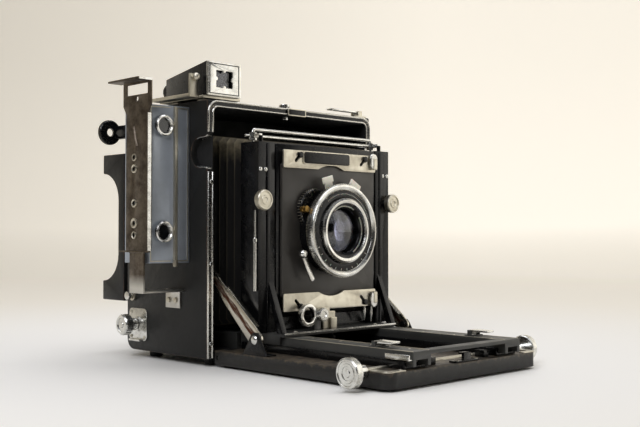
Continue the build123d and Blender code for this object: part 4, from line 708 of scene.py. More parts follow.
room = Matrix.Translation((0, 0, BODY_H / 2 * MM)) @ Matrix.Diagonal(
    (2 * (HALF_W - WALL) * MM, 0.2, (BODY_H - 2 * WALL) * MM, 1))
hollow.transform(room)
hollow_mesh = bpy.data.objects.new("hollow", from_bmesh(hollow))
bpy.context.scene.collection.objects.link(hollow_mesh)
case = settled(solid_body, ("BOOLEAN", {"operation": "DIFFERENCE", "object": hollow_mesh, "solver": "EXACT"}))
bpy.data.objects.remove(hollow_mesh)
body_case = put(case, "leather_cased_body", "root", body_leather, ["body_shell"], 28)
room = [(-84.45, 5.55), (84.45, 5.55), (84.45, 190.45), (-84.45, 190.45)]
inside = [(-84.1, 5.9), (84.1, 5.9), (84.1, 190.1), (-84.1, 190.1)]
liner = sawn(room, [inside], 60.0, Matrix.Translation((0, -22.6 * MM, 0)) @ FRONT_PLANE, 0.05)
put(liner, "body_lining", "root", flat_black)
print("body case faces:", len(case.polygons))

# %% [markdown]
# **Front trim.** A chromed brass moulding with two beads and an enamelled groove between them caps the front edges
# of the walls. It is broken at the finger notches, where each end curls back round the notch's lip. It is drawn
# as a section along a path, as the real strip was drawn through a die and bent.

# %% Two-bead trim
TRIM_Y = FRONT - 0.05
bead_section = [(-2.75, 0), (2.75, 0), (2.75, 0.9), (2.3, 1.45), (1.7, 1.45), (1.3, 0.75), (-1.3, 0.75), (-1.7, 1.45),
                (-2.3, 1.45), (-2.75, 0.9)]
top_run = rounded([(-87.2, NOTCH_Z + NOTCH_R + 3.5, 0), (-87.2, 193.2, 7.0), (87.2, 193.2, 7.0),
                   (87.2, NOTCH_Z + NOTCH_R + 3.5, 0)], 0, 8)
trims = [drawn([(x, TRIM_Y, z) for x, z in top_run], bead_section, (0, -1, 0))]
for side in (-1, 1):
    x = side * 87.2
    trims.append(drawn([(x, TRIM_Y, 1.0), (x, TRIM_Y, NOTCH_Z - NOTCH_R - 3.5)], bead_section, (0, -1, 0)))
    for way in (-1, 1):
        lip = [(x, TRIM_Y + 0.4, NOTCH_Z + way * (NOTCH_R + 3.5)), (x, TRIM_Y + 1.0, NOTCH_Z + way * (NOTCH_R + 1.2)),
               (x, TRIM_Y + 3.2, NOTCH_Z + way * (NOTCH_R + 0.2)), (x, TRIM_Y + 9, NOTCH_Z + way * (NOTCH_R + 0.1)),
               (x, TRIM_Y + 13, NOTCH_Z + way * (NOTCH_R - 0.9))]
        lip_section = [(-2.75, -0.2), (2.75, -0.2), (2.75, 0.7), (-2.75, 0.7)]
        trims.append(drawn(lip, lip_section, (0, -0.25, -way)))
trim_mesh = settled(joined(*trims), *broken_edges(0.25))
put(trim_mesh, "front_trim_beads", "root", trim_chrome, ["front_trim"])
groove_section = [(-1.25, 0.7), (1.25, 0.7), (1.25, 0.86), (-1.25, 0.86)]
put(drawn([(x, TRIM_Y, z) for x, z in top_run], groove_section, (0, -1, 0)), "trim_groove_enamel", "root",
    black_enamel)
badge = sawn(rounded([(-10, -3.0), (10, -3.0), (10, 3.0), (-10, 3.0)], 1.0), [], 0.8,
             Matrix.Translation((0.5 * MM, -0.0552, 193.0 * MM)) @ FRONT_PLANE, 0.2)
put(badge, "blank_maker_badge", "root", satin_nickel)
badge_field = sawn(rounded([(-9, -2.1), (9, -2.1), (9, 2.1), (-9, 2.1)], 0.6), [], 0.4,
                   Matrix.Translation((0.5 * MM, -0.0556, 193.0 * MM)) @ FRONT_PLANE, 0.1)
put(badge_field, "blank_badge_field", "root", black_enamel)
print("trim faces:", len(trim_mesh.polygons))

# %% [markdown]
# **Worked parts.** Many CAD parts already have the right shape and only want their triangles joined, their edges
# broken and a finish. A table gives each its name, its broken edge in millimetres and its finish.

# %% Worked parts of the body, back and bed
worked_parts = [
    ("body_feet", "rubber_feet", 0.8, rubber_foot), ("tripod_bush", "tripod_socket_bush", 0.3, bare_brass),
    ("inner_track", "inner_rails", 0.3, blackened_steel), ("shutter_plate", "shutter_gate_plate", 0.3, flat_black),
    ("winding_roller", "winding_roller_drum", 0.2, blackened_steel),
    ("tension_roller", "tension_roller_drum", 0.2, blackened_steel),
    ("winding_plate", "winding_scale_plate", 0.5, bright_chrome),
    ("shutter_trigger", "release_trigger", 0.4, bright_chrome),
    ("body_fittings", "small_body_fittings", 0.25, satin_nickel), ("back_frame", "back_bearing_frame", 0.5, black_enamel),
    ("focusing_back", "hooded_focusing_back", 1.2, body_leather), ("back_springs", "back_leaf_springs", 0.2, satin_nickel),
    ("hood_cover", "hood_cover_leaf", 0.4, black_enamel), ("finder_base", "finder_shoe", 0.4, satin_nickel),
    ("bed_button", "bed_release_button", 0.5, bright_chrome), ("peep_sight", "peep_sight_leaf", 0.3, bright_chrome),
    ("bed_hinge", "bed_hinge_knuckles", 0.3, blackened_steel), ("bed_fittings", "bed_catch_and_ears", 0.35, black_enamel),
    ("strut_right", "bed_strut_right", 0.3, strut_finish), ("strut_left", "bed_strut_left", 0.3, strut_finish),
    ("bed_track", "bed_guide_channels", 0.35, black_enamel), ("focus_track", "sliding_rails_and_yoke", 0.5, blackened_steel),
    ("focus_racks", "focus_racks_toothed", 0.1, satin_nickel), ("focus_shaft", "pinion_shaft", 0.1, satin_nickel),
    ("infinity_stop_right", "stop_tab_right", 0.35, bright_chrome), ("infinity_stop_left", "stop_tab_left", 0.35, bright_chrome),
    ("standard_base", "standard_base_plate", 0.4, blackened_steel), ("standard_lock", "ring_lock_lever", 0.7, bright_chrome),
    ("standard_frame", "standard_uprights", 0.5, black_enamel), ("finder_crossbar", "crossbar_and_collars", 0.5, bright_chrome),
    ("wire_finder", "wire_frame_finder", 0.1, bright_chrome), ("lens_panel", "rising_lens_panel", 0.4, black_enamel),
    ("lens_board", "lens_board_square", 0.7, board_lacquer), ("clip_upper", "board_clip_upper", 0.35, satin_nickel),
    ("clip_lower", "board_clip_lower", 0.35, satin_nickel),
    ("release_lever", "release_tab", 0.4, ivory_tab), ("aperture_pointer", "aperture_tab", 0.4, ivory_tab),
    ("flash_bracket", "flash_bracket_strip", 0.35, bronze_strip), ("finder_housing", "finder_tube_housing", 0.5, black_enamel),
    ("bed_door", "leather_bed", 1.0, bed_leather), ("range_finder_housing", "range_finder_casting", 1.6, grey_alloy),
    ("finder_mask", "finder_front_plate", 0.4, bright_chrome)]
body_of = {n: b for b, members in frame["record"]["behaviour"]["bodies"].items() for n in members}
for node, name, edge_mm, material in worked_parts:
    put(worked(node, edge_mm), name, body_of[node], material, [node])
print("worked parts:", len(worked_parts))

# %% Plain finishes on the parts that stay as they are
for node, material in (("ground_glass", milky_glass), ("lens_glass", clear_glass), ("small_glasses", clear_glass)):
    part = frame["nodes"][node]
    for place in part.material_slots:
        place.material = material
print("finish set on 3 parts that keep their CAD mesh")

# %% [markdown]
# **Shutter curtain.** The focal plane curtain is one length of rubberised cloth wound on two drums, with a hem
# where each end meets its drum. It is stretched flat by the upper drum's spring, so it hangs without a fold; only
# a faint bow shows across it. It could be a plain slab, but a hem and a bow are what tell cloth from card.

# %% Curtain and hems
columns, rows = 48, 40
bm = bmesh.new()
lattice = []
for r in range(rows + 1):
    up = 21.6 + (175.9 - 21.6) * r / rows
    line = []
    for k in range(columns + 1):
        x = -72.0 + 144.0 * k / columns
        bow = 0.12 * cos(pi * x / 144.0) * sin(pi * r / rows)
        line.append(bm.verts.new((x * MM, (29.5 + bow) * MM, up * MM)))
    lattice.append(line)
for low, high in zip(lattice, lattice[1:]):
    for k in range(columns):
        bm.faces.new((low[k], low[k + 1], high[k + 1], high[k]))
curtain = settled(from_bmesh(bm), ("SOLIDIFY", {"thickness": 0.3 * MM, "offset": 0.0}))
curtain_piece = put(curtain, "stretched_shutter_curtain", "root", curtain_cloth, ["shutter_curtain"])
hems = [drawn([(side * 71.2, 29.5, 21.8), (side * 71.2, 29.5, 175.7)], [(-0.9, -0.3), (0.9, -0.3), (0.9, 0.3),
                                                                        (-0.9, 0.3)], (0, -1, 0)) for side in (-1, 1)]
hem_piece = put(settled(joined(*hems), *broken_edges(0.12)), "curtain_hems", "root", curtain_cloth)
print("curtain", len(curtain.polygons), "faces")

# %% [markdown]
# **Hand strap.** A thick strap of harness leather stands off the right wall as a shallow arch, sewn along both
# edges with waxed linen. Stitches are all alike, so a tree lays one at every step along each sewing line.

# %% Strap and stitches
stitch_tree, given = new_tree("saddle_stitches", ("Step", "Float", 0.0032), ("Length", "Float", 0.0023),
                              ("Thickness", "Float", 0.0007), ("Material", "Material", None))
seam = add(stitch_tree, "GeometryNodeMeshToCurve", {"Mesh": given.outputs["Geometry"]})
steps = add(stitch_tree, "GeometryNodeResampleCurve", {"Curve": seam.outputs[0], "Length": given.outputs["Step"]},
            mode="LENGTH")
run = add(stitch_tree, "GeometryNodeInputTangent")
lie = add(stitch_tree, "FunctionNodeAlignRotationToVector", {"Vector": run.outputs[0]}, axis="Z")
half = add(stitch_tree, "ShaderNodeMath", {0: given.outputs["Thickness"], 1: 0.5}, operation="MULTIPLY")
thread = add(stitch_tree, "GeometryNodeMeshUVSphere", {"Segments": 8, "Rings": 8, "Radius": half.outputs[0]})
long = add(stitch_tree, "ShaderNodeMath", {0: given.outputs["Length"], 1: given.outputs["Thickness"]},
           operation="DIVIDE")
pull = add(stitch_tree, "ShaderNodeCombineXYZ", {"X": 1.0, "Y": 1.0, "Z": long.outputs[0]})
laid = add(stitch_tree, "GeometryNodeInstanceOnPoints", {"Points": steps.outputs[0], "Instance": thread.outputs[0],
                                                         "Rotation": lie.outputs[0], "Scale": pull.outputs[0]})
close_tree(stitch_tree, laid.outputs[0], given.outputs["Material"])


def strap_point(t, across=0.0, out=0.0):
    """A point on the strap's middle line, in millimetres; t runs from 0 at the foot to 1 at the top."""
    return 94.0 + 13.0 * max(0.0, sin(pi * t)) ** 0.7 + out, 4.0 + across, 98.0 - 59.8 + 119.6 * t


strap_section = rounded([(-12.0, -1.5), (12.0, -1.5), (12.0, 1.5), (-12.0, 1.5)], 1.1, 3)
strap_line = [strap_point(k / 64) for k in range(65)]
strap_mesh = drawn(strap_line, strap_section, (1, 0, 0))
put(strap_mesh, "leather_hand_strap", "root", strap_leather, ["hand_strap"], 50)
seams = []
for edge in (-9.2, 9.2):
    line = bpy.data.meshes.new("seam")
    spots = [Vector(strap_point(0.06 + 0.88 * k / 60, edge, 1.5)) * MM for k in range(61)]
    line.from_pydata(spots, [(k, k + 1) for k in range(60)], [])
    seams.append(grown(stitch_tree, {"Material": linen_thread}, line))
put(joined(*seams), "strap_stitches", "root", linen_thread, smooth=80)
print("strap faces:", len(strap_mesh.polygons))

# %% [markdown]
# # The bellows
# A bellows is a tapering tube of leather over card stiffeners, folded so that ridges and valleys alternate and
# meet in a mitre at each corner. It follows a rule, so a tree makes it: a grid is wrapped round a square, tapered
# from front to rear, and pushed in and out by a zigzag.

# %% Bellows tree
bellows_tree, given = new_tree("pleated_bellows", ("Front", "Float", -0.0840), ("Rear", "Float", 0.0118),
                               ("Front Half Width", "Float", 0.0515), ("Rear Half Width", "Float", 0.0745),
                               ("Front Half Height", "Float", 0.0625), ("Rear Half Height", "Float", 0.0735),
                               ("Pleats", "Int", 14), ("Pleat Depth", "Float", 0.0042), ("Material", "Material", None))
rows = add(bellows_tree, "ShaderNodeMath", {0: given.outputs["Pleats"], 1: 4.0, 2: 1.0}, operation="MULTIPLY_ADD")
sheet = add(bellows_tree, "GeometryNodeMeshGrid", {"Size X": 1.0, "Size Y": 1.0, "Vertices X": 105,
                                                   "Vertices Y": rows.outputs[0]})
spot = add(bellows_tree, "ShaderNodeSeparateXYZ", {0: add(bellows_tree, "GeometryNodeInputPosition").outputs[0]})
around = add(bellows_tree, "ShaderNodeMath", {0: spot.outputs["X"], 1: 0.5}, operation="ADD")
along = add(bellows_tree, "ShaderNodeMath", {0: spot.outputs["Y"], 1: 0.5}, operation="ADD")
square = add(bellows_tree, "GeometryNodeCurvePrimitiveQuadrilateral", {"Width": 2.0, "Height": 2.0})
corners = add(bellows_tree, "GeometryNodeFilletCurve", {"Curve": square.outputs[0], "Radius": 0.05, "Count": 2},
              mode="POLY")
ring = add(bellows_tree, "GeometryNodeSampleCurve", {"Curves": corners.outputs[0], "Factor": around.outputs[0]},
           mode="FACTOR")
unit = add(bellows_tree, "ShaderNodeSeparateXYZ", {0: ring.outputs["Position"]})
fold_count = add(bellows_tree, "ShaderNodeMath", {0: along.outputs[0], 1: given.outputs["Pleats"]},
                 operation="MULTIPLY")
phase = add(bellows_tree, "ShaderNodeMath", {0: fold_count.outputs[0]}, operation="FRACT")
centred = add(bellows_tree, "ShaderNodeMath", {0: phase.outputs[0], 1: 0.5}, operation="SUBTRACT")
size = add(bellows_tree, "ShaderNodeMath", {0: centred.outputs[0]}, operation="ABSOLUTE")
zigzag = add(bellows_tree, "ShaderNodeMath", {0: size.outputs[0], 1: -4.0, 2: 1.0}, operation="MULTIPLY_ADD")
corner_at = add(bellows_tree, "ShaderNodeMath", {0: unit.outputs["X"], 1: unit.outputs["Y"]}, operation="MULTIPLY")
corner_size = add(bellows_tree, "ShaderNodeMath", {0: corner_at.outputs[0]}, operation="ABSOLUTE")
growth = add(bellows_tree, "ShaderNodeMath", {0: along.outputs[0], 1: 0.5, 2: 1.0}, operation="MULTIPLY_ADD")
depth = add(bellows_tree, "ShaderNodeMath", {0: growth.outputs[0], 1: given.outputs["Pleat Depth"]},
            operation="MULTIPLY")
push = add(bellows_tree, "ShaderNodeMath", {0: zigzag.outputs[0], 1: depth.outputs[0]}, operation="MULTIPLY")
half_w = add(bellows_tree, "ShaderNodeMapRange", {"Value": along.outputs[0],
                                                  "To Min": given.outputs["Front Half Width"],
                                                  "To Max": given.outputs["Rear Half Width"]})
half_h = add(bellows_tree, "ShaderNodeMapRange", {"Value": along.outputs[0],
                                                  "To Min": given.outputs["Front Half Height"],
                                                  "To Max": given.outputs["Rear Half Height"]})
wide = add(bellows_tree, "ShaderNodeMath", {0: half_w.outputs[0], 1: push.outputs[0]}, operation="ADD")
high = add(bellows_tree, "ShaderNodeMath", {0: half_h.outputs[0], 1: push.outputs[0]}, operation="ADD")
x = add(bellows_tree, "ShaderNodeMath", {0: unit.outputs["X"], 1: wide.outputs[0]}, operation="MULTIPLY")
z = add(bellows_tree, "ShaderNodeMath", {0: unit.outputs["Y"], 1: high.outputs[0], 2: 0.097},
        operation="MULTIPLY_ADD")
y = add(bellows_tree, "ShaderNodeMapRange", {"Value": along.outputs[0], "To Min": given.outputs["Front"],
                                             "To Max": given.outputs["Rear"]})
wrapped = add(bellows_tree, "ShaderNodeCombineXYZ", {"X": x.outputs[0], "Y": y.outputs[0], "Z": z.outputs[0]})
crease = add(bellows_tree, "ShaderNodeMath", {0: zigzag.outputs[0], 1: 0.5, 2: 0.5}, operation="MULTIPLY_ADD")
kept = add(bellows_tree, "GeometryNodeStoreNamedAttribute", {"Geometry": sheet.outputs[0], "Name": "crease",
                                                             "Value": crease.outputs[0]}, domain="POINT")
# The top corners are marked for lightening: partly wear, partly painted highlight.
upper = add(bellows_tree, "ShaderNodeMath", {0: unit.outputs["Y"], 1: 0.6}, operation="GREATER_THAN")
corner_wide = add(bellows_tree, "ShaderNodeMath", {0: corner_size.outputs[0], 1: 6.0}, operation="POWER")
top_corner_wear_and_highlight = add(bellows_tree, "ShaderNodeMath", {0: upper.outputs[0], 1: corner_wide.outputs[0]},
                 operation="MULTIPLY")
kept = add(bellows_tree, "GeometryNodeStoreNamedAttribute", {"Geometry": kept.outputs[0], "Name": "corner",
                                                             "Value": top_corner_wear_and_highlight.outputs[0]}, domain="POINT")
bent = add(bellows_tree, "GeometryNodeSetPosition", {"Geometry": kept.outputs[0], "Position": wrapped.outputs[0]})
closed = add(bellows_tree, "GeometryNodeMergeByDistance", {"Geometry": bent.outputs[0], "Distance": 0.00002})
close_tree(bellows_tree, closed.outputs[0], given.outputs["Material"])
bellows_mesh = grown(bellows_tree, {"Front": -0.0838, "Rear": 0.0117, "Material": bellows_leather})
print("bellows faces:", len(bellows_mesh.polygons))

# %% [markdown]
# The tube crosses four joints: the bed's hinge, the rails' slide, the standard's slide and the lens panel's rise.
# It is cut at its valleys into four lengths, one for each joint.

# %% Bellows in four lengths
PITCH = (0.0117 + 0.0838) / 14
lengths = [("bellows_at_lens_panel", "standard", "panel", 0, 1), ("bellows_at_standard", "rails", "standard", 1, 6),
           ("bellows_over_rails", "bed", "rails", 6, 10), ("bellows_in_body", "root", "bed", 10, 14)]
for name, rear_body, front_body, first, last in lengths:
    low, high = -0.0838 + first * PITCH, -0.0838 + last * PITCH
    bm = bmesh.new()
    bm.from_mesh(bellows_mesh)
    outside = [f for f in bm.faces if not low < f.calc_center_median().y < high]
    bmesh.ops.delete(bm, geom=outside, context="FACES")
    bmesh.ops.recalc_face_normals(bm, faces=bm.faces)
    out = sum(f.normal.dot(f.calc_center_median() - Vector((0, f.calc_center_median().y, 0.097))) for f in bm.faces)
    if out < 0:
        bmesh.ops.reverse_faces(bm, faces=bm.faces)
    mesh = settled(from_bmesh(bm), ("SOLIDIFY", {"thickness": 0.7 * MM, "offset": -1.0}))
    mesh.name = name
    mesh.materials.clear()
    mesh.materials.append(bellows_leather)
    mesh.shade_smooth()
    mesh.set_sharp_from_angle(angle=radians(24))
    length = bpy.data.objects.new(name, mesh)
    bpy.context.scene.collection.objects.link(length)
    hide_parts("bellows")
    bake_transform(length)
    print(name, "faces", len(mesh.polygons))

# %% [markdown]
# # Lens and shutter
# The leaf shutter is a black drum. A chromed ring with a knurled rim turns on its front to set the speed, and the
# lens barrel screws through it, with a bevelled chrome bezel and a black name ring. All of it is turned work, so
# each piece is an outline spun on the lens's axis; heights here are millimetres in front of the origin.

# %% Shutter drum
LENS = (0, 0, 97.0)
drum = turned([(19.0, 93.6), (32.6, 93.6), (33.0, 94.0), (33.0, 100.2), (31.2, 100.3), (31.2, 101.9), (33.0, 102.0),
               (33.0, 104.0), (32.5, 104.5), (19.0, 104.5)], LENS, "-y", 96)
dial = turned([(0, 93.6), (15.4, 93.6), (16.0, 94.2), (16.0, 97.6), (15.2, 98.5), (9.0, 98.5), (8.6, 98.0), (0, 98.0)],
              (-20, 0, 113), "-y", 64)
put(joined(drum, dial), "shutter_drum", "panel", black_enamel, ["shutter_case"])
teeth = [knurls(33.0, 26, 1.5, 3.0, 1.2, (0, -102.9, 97.0), "-y", satin_nickel, 136, 96),
         knurls(15.7, 44, 0.8, 2.6, 1.1, (-20, -96.0, 113), "-y", satin_nickel)]
put(joined(*teeth), "dial_teeth", "panel", satin_nickel)
pillar = turned([(0, 98.6), (2.4, 98.6), (2.4, 101.0), (1.7, 101.4), (1.7, 102.6), (2.5, 103.0), (2.5, 104.6),
                 (1.9, 105.2), (0, 105.2)], (-35.0, 0, 113.2), "-y", 32)
put(pillar, "brass_cable_socket", "panel", bare_brass)

# %% Speed ring with its knurled rim
rim = turned([(31.4, 104.9), (35.4, 104.9), (35.9, 105.3), (35.9, 109.5), (35.3, 110.6), (33.9, 110.9),
              (31.9, 110.0), (31.4, 109.3)], LENS, "-y", 128)
put(rim, "speed_ring_rim", "speed_ring", bright_chrome, ["shutter_ring"])
put(knurls(35.85, 118, 0.95, 3.6, 0.85, (0, -107.4, 97.0), "-y", bright_chrome), "speed_ring_knurl", "speed_ring",
    bright_chrome)
face = turned([(25.8, 104.9), (31.5, 104.9), (31.5, 109.2), (30.9, 109.3), (30.6, 109.0), (26.6, 109.6),
               (25.8, 109.4)], LENS, "-y", 128)
put(face, "speed_ring_face", "speed_ring", black_enamel)
marks = [knurls(29.9, 11, 0.35, 0.3, 1.6, (0, -109.05, 97.0), "-y", ivory_tab, 205, 130),
         knurls(28.4, 40, 0.2, 0.3, 0.8, (0, -109.35, 97.0), "-y", ivory_tab, 20, 110)]
put(joined(*marks), "speed_ring_marks", "speed_ring", ivory_tab)
print("speed ring: rim, knurl, face and marks")

# %% Barrel, bezel and name ring
bezel = turned([(20.9, 111.2), (21.5, 112.6), (22.3, 113.0), (23.6, 113.0), (25.0, 111.9), (25.2, 111.2),
                (25.2, 108.2), (24.6, 107.6), (24.6, 104.6), (20.9, 104.6)], LENS, "-y", 128)
put(bezel, "lens_bezel", "panel", bright_chrome, ["lens_barrel"])
name_ring = turned([(17.2, 108.3), (17.6, 108.9), (20.4, 111.2), (21.0, 111.3), (21.0, 104.7), (17.2, 104.7)], LENS,
                   "-y", 128)
tube = turned([(14.6, 93.6), (18.9, 93.6), (18.9, 104.6), (17.1, 104.6), (17.1, 103.0), (16.6, 102.6), (16.6, 101.2),
               (16.0, 100.8), (16.0, 99.4), (14.6, 98.8)], LENS, "-y", 96)
rear_cell = turned([(16.6, 77.2), (18.6, 77.0), (19.0, 77.4), (19.0, 93.5), (16.6, 93.5)], LENS, "-y", 64)
put(joined(name_ring, tube, rear_cell), "name_ring_and_tube", "panel", black_enamel)
ring_marks = [knurls(19.1, 34, 0.42, 0.35, 1.3, (0, -110.1, 97.0), "-y", ivory_tab, 300, 95),
              knurls(19.1, 22, 0.42, 0.35, 1.3, (0, -110.1, 97.0), "-y", ivory_tab, 60, 70)]
put(joined(*ring_marks), "name_ring_marks", "panel", ivory_tab)
iris_blade = rounded([(-9.5, -3.0), (4.0, -5.5), (9.5, 1.0), (2.0, 5.0), (-8.0, 4.0)], 1.5, 3)
blades = []
for k in range(10):
    place = at((0, -96.6 + 0.12 * (k % 2), 97.0), "-y", 36 * k) @ Matrix.Translation((0.0112, 0, 0))
    blades.append(sawn(iris_blade, [], 0.12, place @ Matrix.Rotation(0.03, 4, "X"), 0.03))
put(joined(*blades), "iris_blades", "panel", blackened_steel)
inner_dome = turned([(0, 101.8), (4.0, 101.5), (8.0, 100.7), (11.5, 99.3), (14.4, 98.9), (14.4, 98.2), (0, 98.2)],
                    LENS, "-y", 64)
put(inner_dome, "inner_lens_element", "panel", clear_glass)
print("barrel pieces made")

# %% [markdown]
# The cocking arm is a thin chromed lever pinned at a ball on the drum's lower left and hanging to a bent tip.

# %% Cocking arm
arm = sawn(rounded([(-38.0, 78.6), (-34.6, 80.6), (-28.6, 68.0), (-24.4, 60.0), (-27.6, 57.8), (-32.6, 66.6)], 1.2, 4),
           [], 1.5, Matrix.Translation((0, -0.1011, 0)) @ FRONT_PLANE, 0.3)
ball = turned([(0, 99.6), (3.0, 99.8), (3.4, 101.4), (3.1, 103.0), (2.0, 104.2), (0, 104.6)], (-36.4, 0, 79.4),
              "-y", 32)
put(joined(arm, ball), "cocking_arm_and_ball", "cocking", bright_chrome, ["cocking_lever"])
print("cocking arm made")

# %% [markdown]
# # Knobs
# Each knob is turned from brass, its face stepped in rings, its rim knurled, then plated.

# %% Focusing, rise and winding knobs
SHAFT = (0, -208.0, 6.6)
knob_outline = [(0, 84.6), (4.2, 84.6), (4.2, 94.4), (9.2, 94.4), (9.7, 94.9), (9.7, 99.9), (9.0, 100.4), (8.3, 100.4),
                (7.9, 99.7), (6.4, 99.7), (6.1, 100.2), (4.6, 100.2), (4.3, 99.6), (2.6, 99.6), (2.2, 100.2), (0, 100.2)]
sides = [(turned(knob_outline, SHAFT, axis, 72), knurls(9.65, 60, 0.55, 4.4, 0.75, (way * 97.4, *SHAFT[1:]), axis,
                                                        bright_chrome)) for axis, way in (("x", 1), ("-x", -1))]
knob_meshes = [mesh for pair in sides for mesh in pair]
put(joined(*knob_meshes), "focus_knobs_knurled", "pinion", bright_chrome, ["focus_knobs"])
rise_outline = [(0, 91.4), (4.0, 91.4), (4.0, 93.4), (6.9, 93.4), (7.3, 93.8), (7.3, 97.6), (6.8, 98.2), (6.1, 98.2),
                (5.8, 97.6), (3.6, 97.8), (3.3, 98.3), (2.0, 98.3), (1.7, 97.8), (0, 97.8)]
for body, way in (("knob_right", 1), ("knob_left", -1)):
    spot = (way * 71.0, 0, 119.5)
    made = joined(turned(rise_outline, spot, "-y", 64),
                  knurls(7.25, 44, 0.55, 3.2, 0.7, (spot[0], -95.7, spot[2]), "-y", satin_nickel))
    put(made, body.replace("knob", "rise_knob") + "_knurled", body, satin_nickel, ["rise_" + body])
key = turned([(0, 93.4), (4.6, 93.4), (5.0, 94.0), (5.0, 99.5), (7.2, 99.6), (7.9, 100.2), (7.9, 106.2), (7.2, 107.0),
              (5.6, 107.0), (5.2, 106.2), (2.4, 106.2), (2.0, 106.8), (0, 106.8)], (0, 36.0, 21.5), "-x", 64)
grip = knurls(7.85, 20, 1.5, 5.0, 1.0, (-103.2, 36.0, 21.5), "-x", bright_chrome)
put(joined(key, grip), "winding_key_grooved", "winder", bright_chrome, ["winding_key"])
print("knobs made")

# %% [markdown]
# # Range finder
# The alloy housing carries two chromed window rings, a fine ridge down its front, and a black eyepiece on a stalk
# at the rear. The rings are turned with a rolled lip.

# %% Window rings, ridge and eyepiece
WINDOW_X, RF_FACE = -113.0, 29.0
ring_outline = [(5.2, RF_FACE - 6), (6.4, RF_FACE - 6), (6.4, RF_FACE + 0.6), (7.6, RF_FACE + 1.0), (8.0, RF_FACE + 1.6),
                (7.9, RF_FACE + 2.6), (7.1, RF_FACE + 3.3), (6.3, RF_FACE + 3.2), (5.6, RF_FACE + 2.2), (5.2, RF_FACE + 1.0)]
rings = [turned(ring_outline, (WINDOW_X, 0, z), "-y", 64) for z in (96.0, 176.0)]
put(joined(*rings), "window_rings", "root", bright_chrome, ["range_finder_bezels"])
# Painted shade: a flat black disc just inside each window ring stands in for the dark inside of the finder.
shade_discs = [turned([(0, RF_FACE - 1.4), (5.15, RF_FACE - 1.4), (5.15, RF_FACE - 0.6), (0, RF_FACE - 0.6)],
               (WINDOW_X, 0, z), "-y", 48) for z in (96.0, 176.0)]
put(joined(*shade_discs), "window_shade_discs", "root", flat_black)
ridge = drawn([(-103.4, -30.7, 71.5), (-103.4, -31.0, 74), (-103.4, -31.0, 189.6), (-103.4, -30.6, 191)],
              [(-1.3, -0.4), (-0.8, 1.3), (0.8, 1.3), (1.3, -0.4)], (0, -1, 0))
foot_tab = sawn(rounded([(-105.2, 69.4), (-101.6, 69.4), (-101.6, 75.0), (-105.2, 75.0)], 1.0), [], 1.4,
                Matrix.Translation((0, -0.0320, 0)) @ FRONT_PLANE, 0.3)
rim_section = [(-0.5, -0.2), (0.5, -0.2), (0.4, 0.5), (-0.4, 0.5)]
window_rim = [(-123.0, -27.2, 74.0), (-123.0, -27.2, 190.0), (-105.0, -29.9, 190.0), (-105.0, -29.9, 74.0)]
strip_rim = [(-101.6, -31.0, 74.0), (-101.6, -31.0, 190.0), (-91.6, -31.0, 190.0), (-91.6, -31.0, 74.0)]
put(joined(ridge, foot_tab, drawn(window_rim, rim_section, (-0.15, -1, 0), True),
           drawn(strip_rim, rim_section, (0, -1, 0), True)), "range_finder_ridge", "root", satin_nickel)
eye_disc = turned([(3.2, -47.4), (9.2, -47.4), (9.8, -48.0), (9.8, -50.4), (9.2, -51.0), (5.4, -51.0), (3.2, -49.6)],
                  (-110.0, 0, 176.5), "-y", 64)
eye_arm = sawn(rounded([(4.0, 171.2), (50.4, 171.2), (50.4, 181.8), (4.0, 181.8)], 2.0), [], 5.0,
               Matrix.Translation((-103.6 * MM, 0, 0)) @ SIDE_PLANE, 0.6)
put(joined(eye_disc, eye_arm, knurls(9.7, 52, 0.55, 2.2, 0.7, (-110.0, 49.2, 176.5), "-y", black_enamel)),
    "range_finder_eyepiece_knurled", "root", black_enamel, ["range_finder_eyepiece"])
print("range finder dressed")

# %% [markdown]
# **Flash bracket.** The bronze strip has eyelets pressed round its holes, rubbed bright, and a folded front edge.

# %% Bracket eyelets and bright edges
eyelets = [turned([(1.9, 128.4), (r, 128.4), (r - 0.2, 129.1), (r - 0.8, 129.3), (1.9, 128.9)], (0, -14.0, z), "-x",
                  32) for z, r in ((152.0, 2.9), (143.5, 3.5), (117.5, 3.3), (102.5, 4.0), (93.5, 3.0))]
put(joined(*eyelets), "bracket_eyelets", "root", satin_nickel)
long_boss = drawn([(-128.5, -17.0, 160.0), (-128.5, -15.0, 165.0), (-128.5, -12.6, 175.0)],
                  [(-1.6, 0), (-0.8, 0.8), (0.8, 0.8), (1.6, 0)], (-1, 0, 0))
put(long_boss, "bracket_slanted_boss", "root", bronze_strip)
edges = [drawn([(-127.0, -31.2, 82.0), (-127.0, -31.2, 184.5)], [(-1.5, 0), (1.4, 0), (1.4, 0.5), (-1.5, 0.5)],
               (0, -1, 0)),
         drawn([(-139.0, -35.4, 208.9), (-127.0, -35.4, 208.9)], [(-0.8, -0.3), (0.8, -0.3), (0.8, 0.3), (-0.8, 0.3)],
               (0, -1, 0))]
put(joined(*edges), "bracket_bright_edges", "root", bright_chrome)
print("bracket eyelets:", len(eyelets))

# %% [markdown]
# # Screws
# Screws close every plate. They are listed by the body that they ride on and by the way that they face.

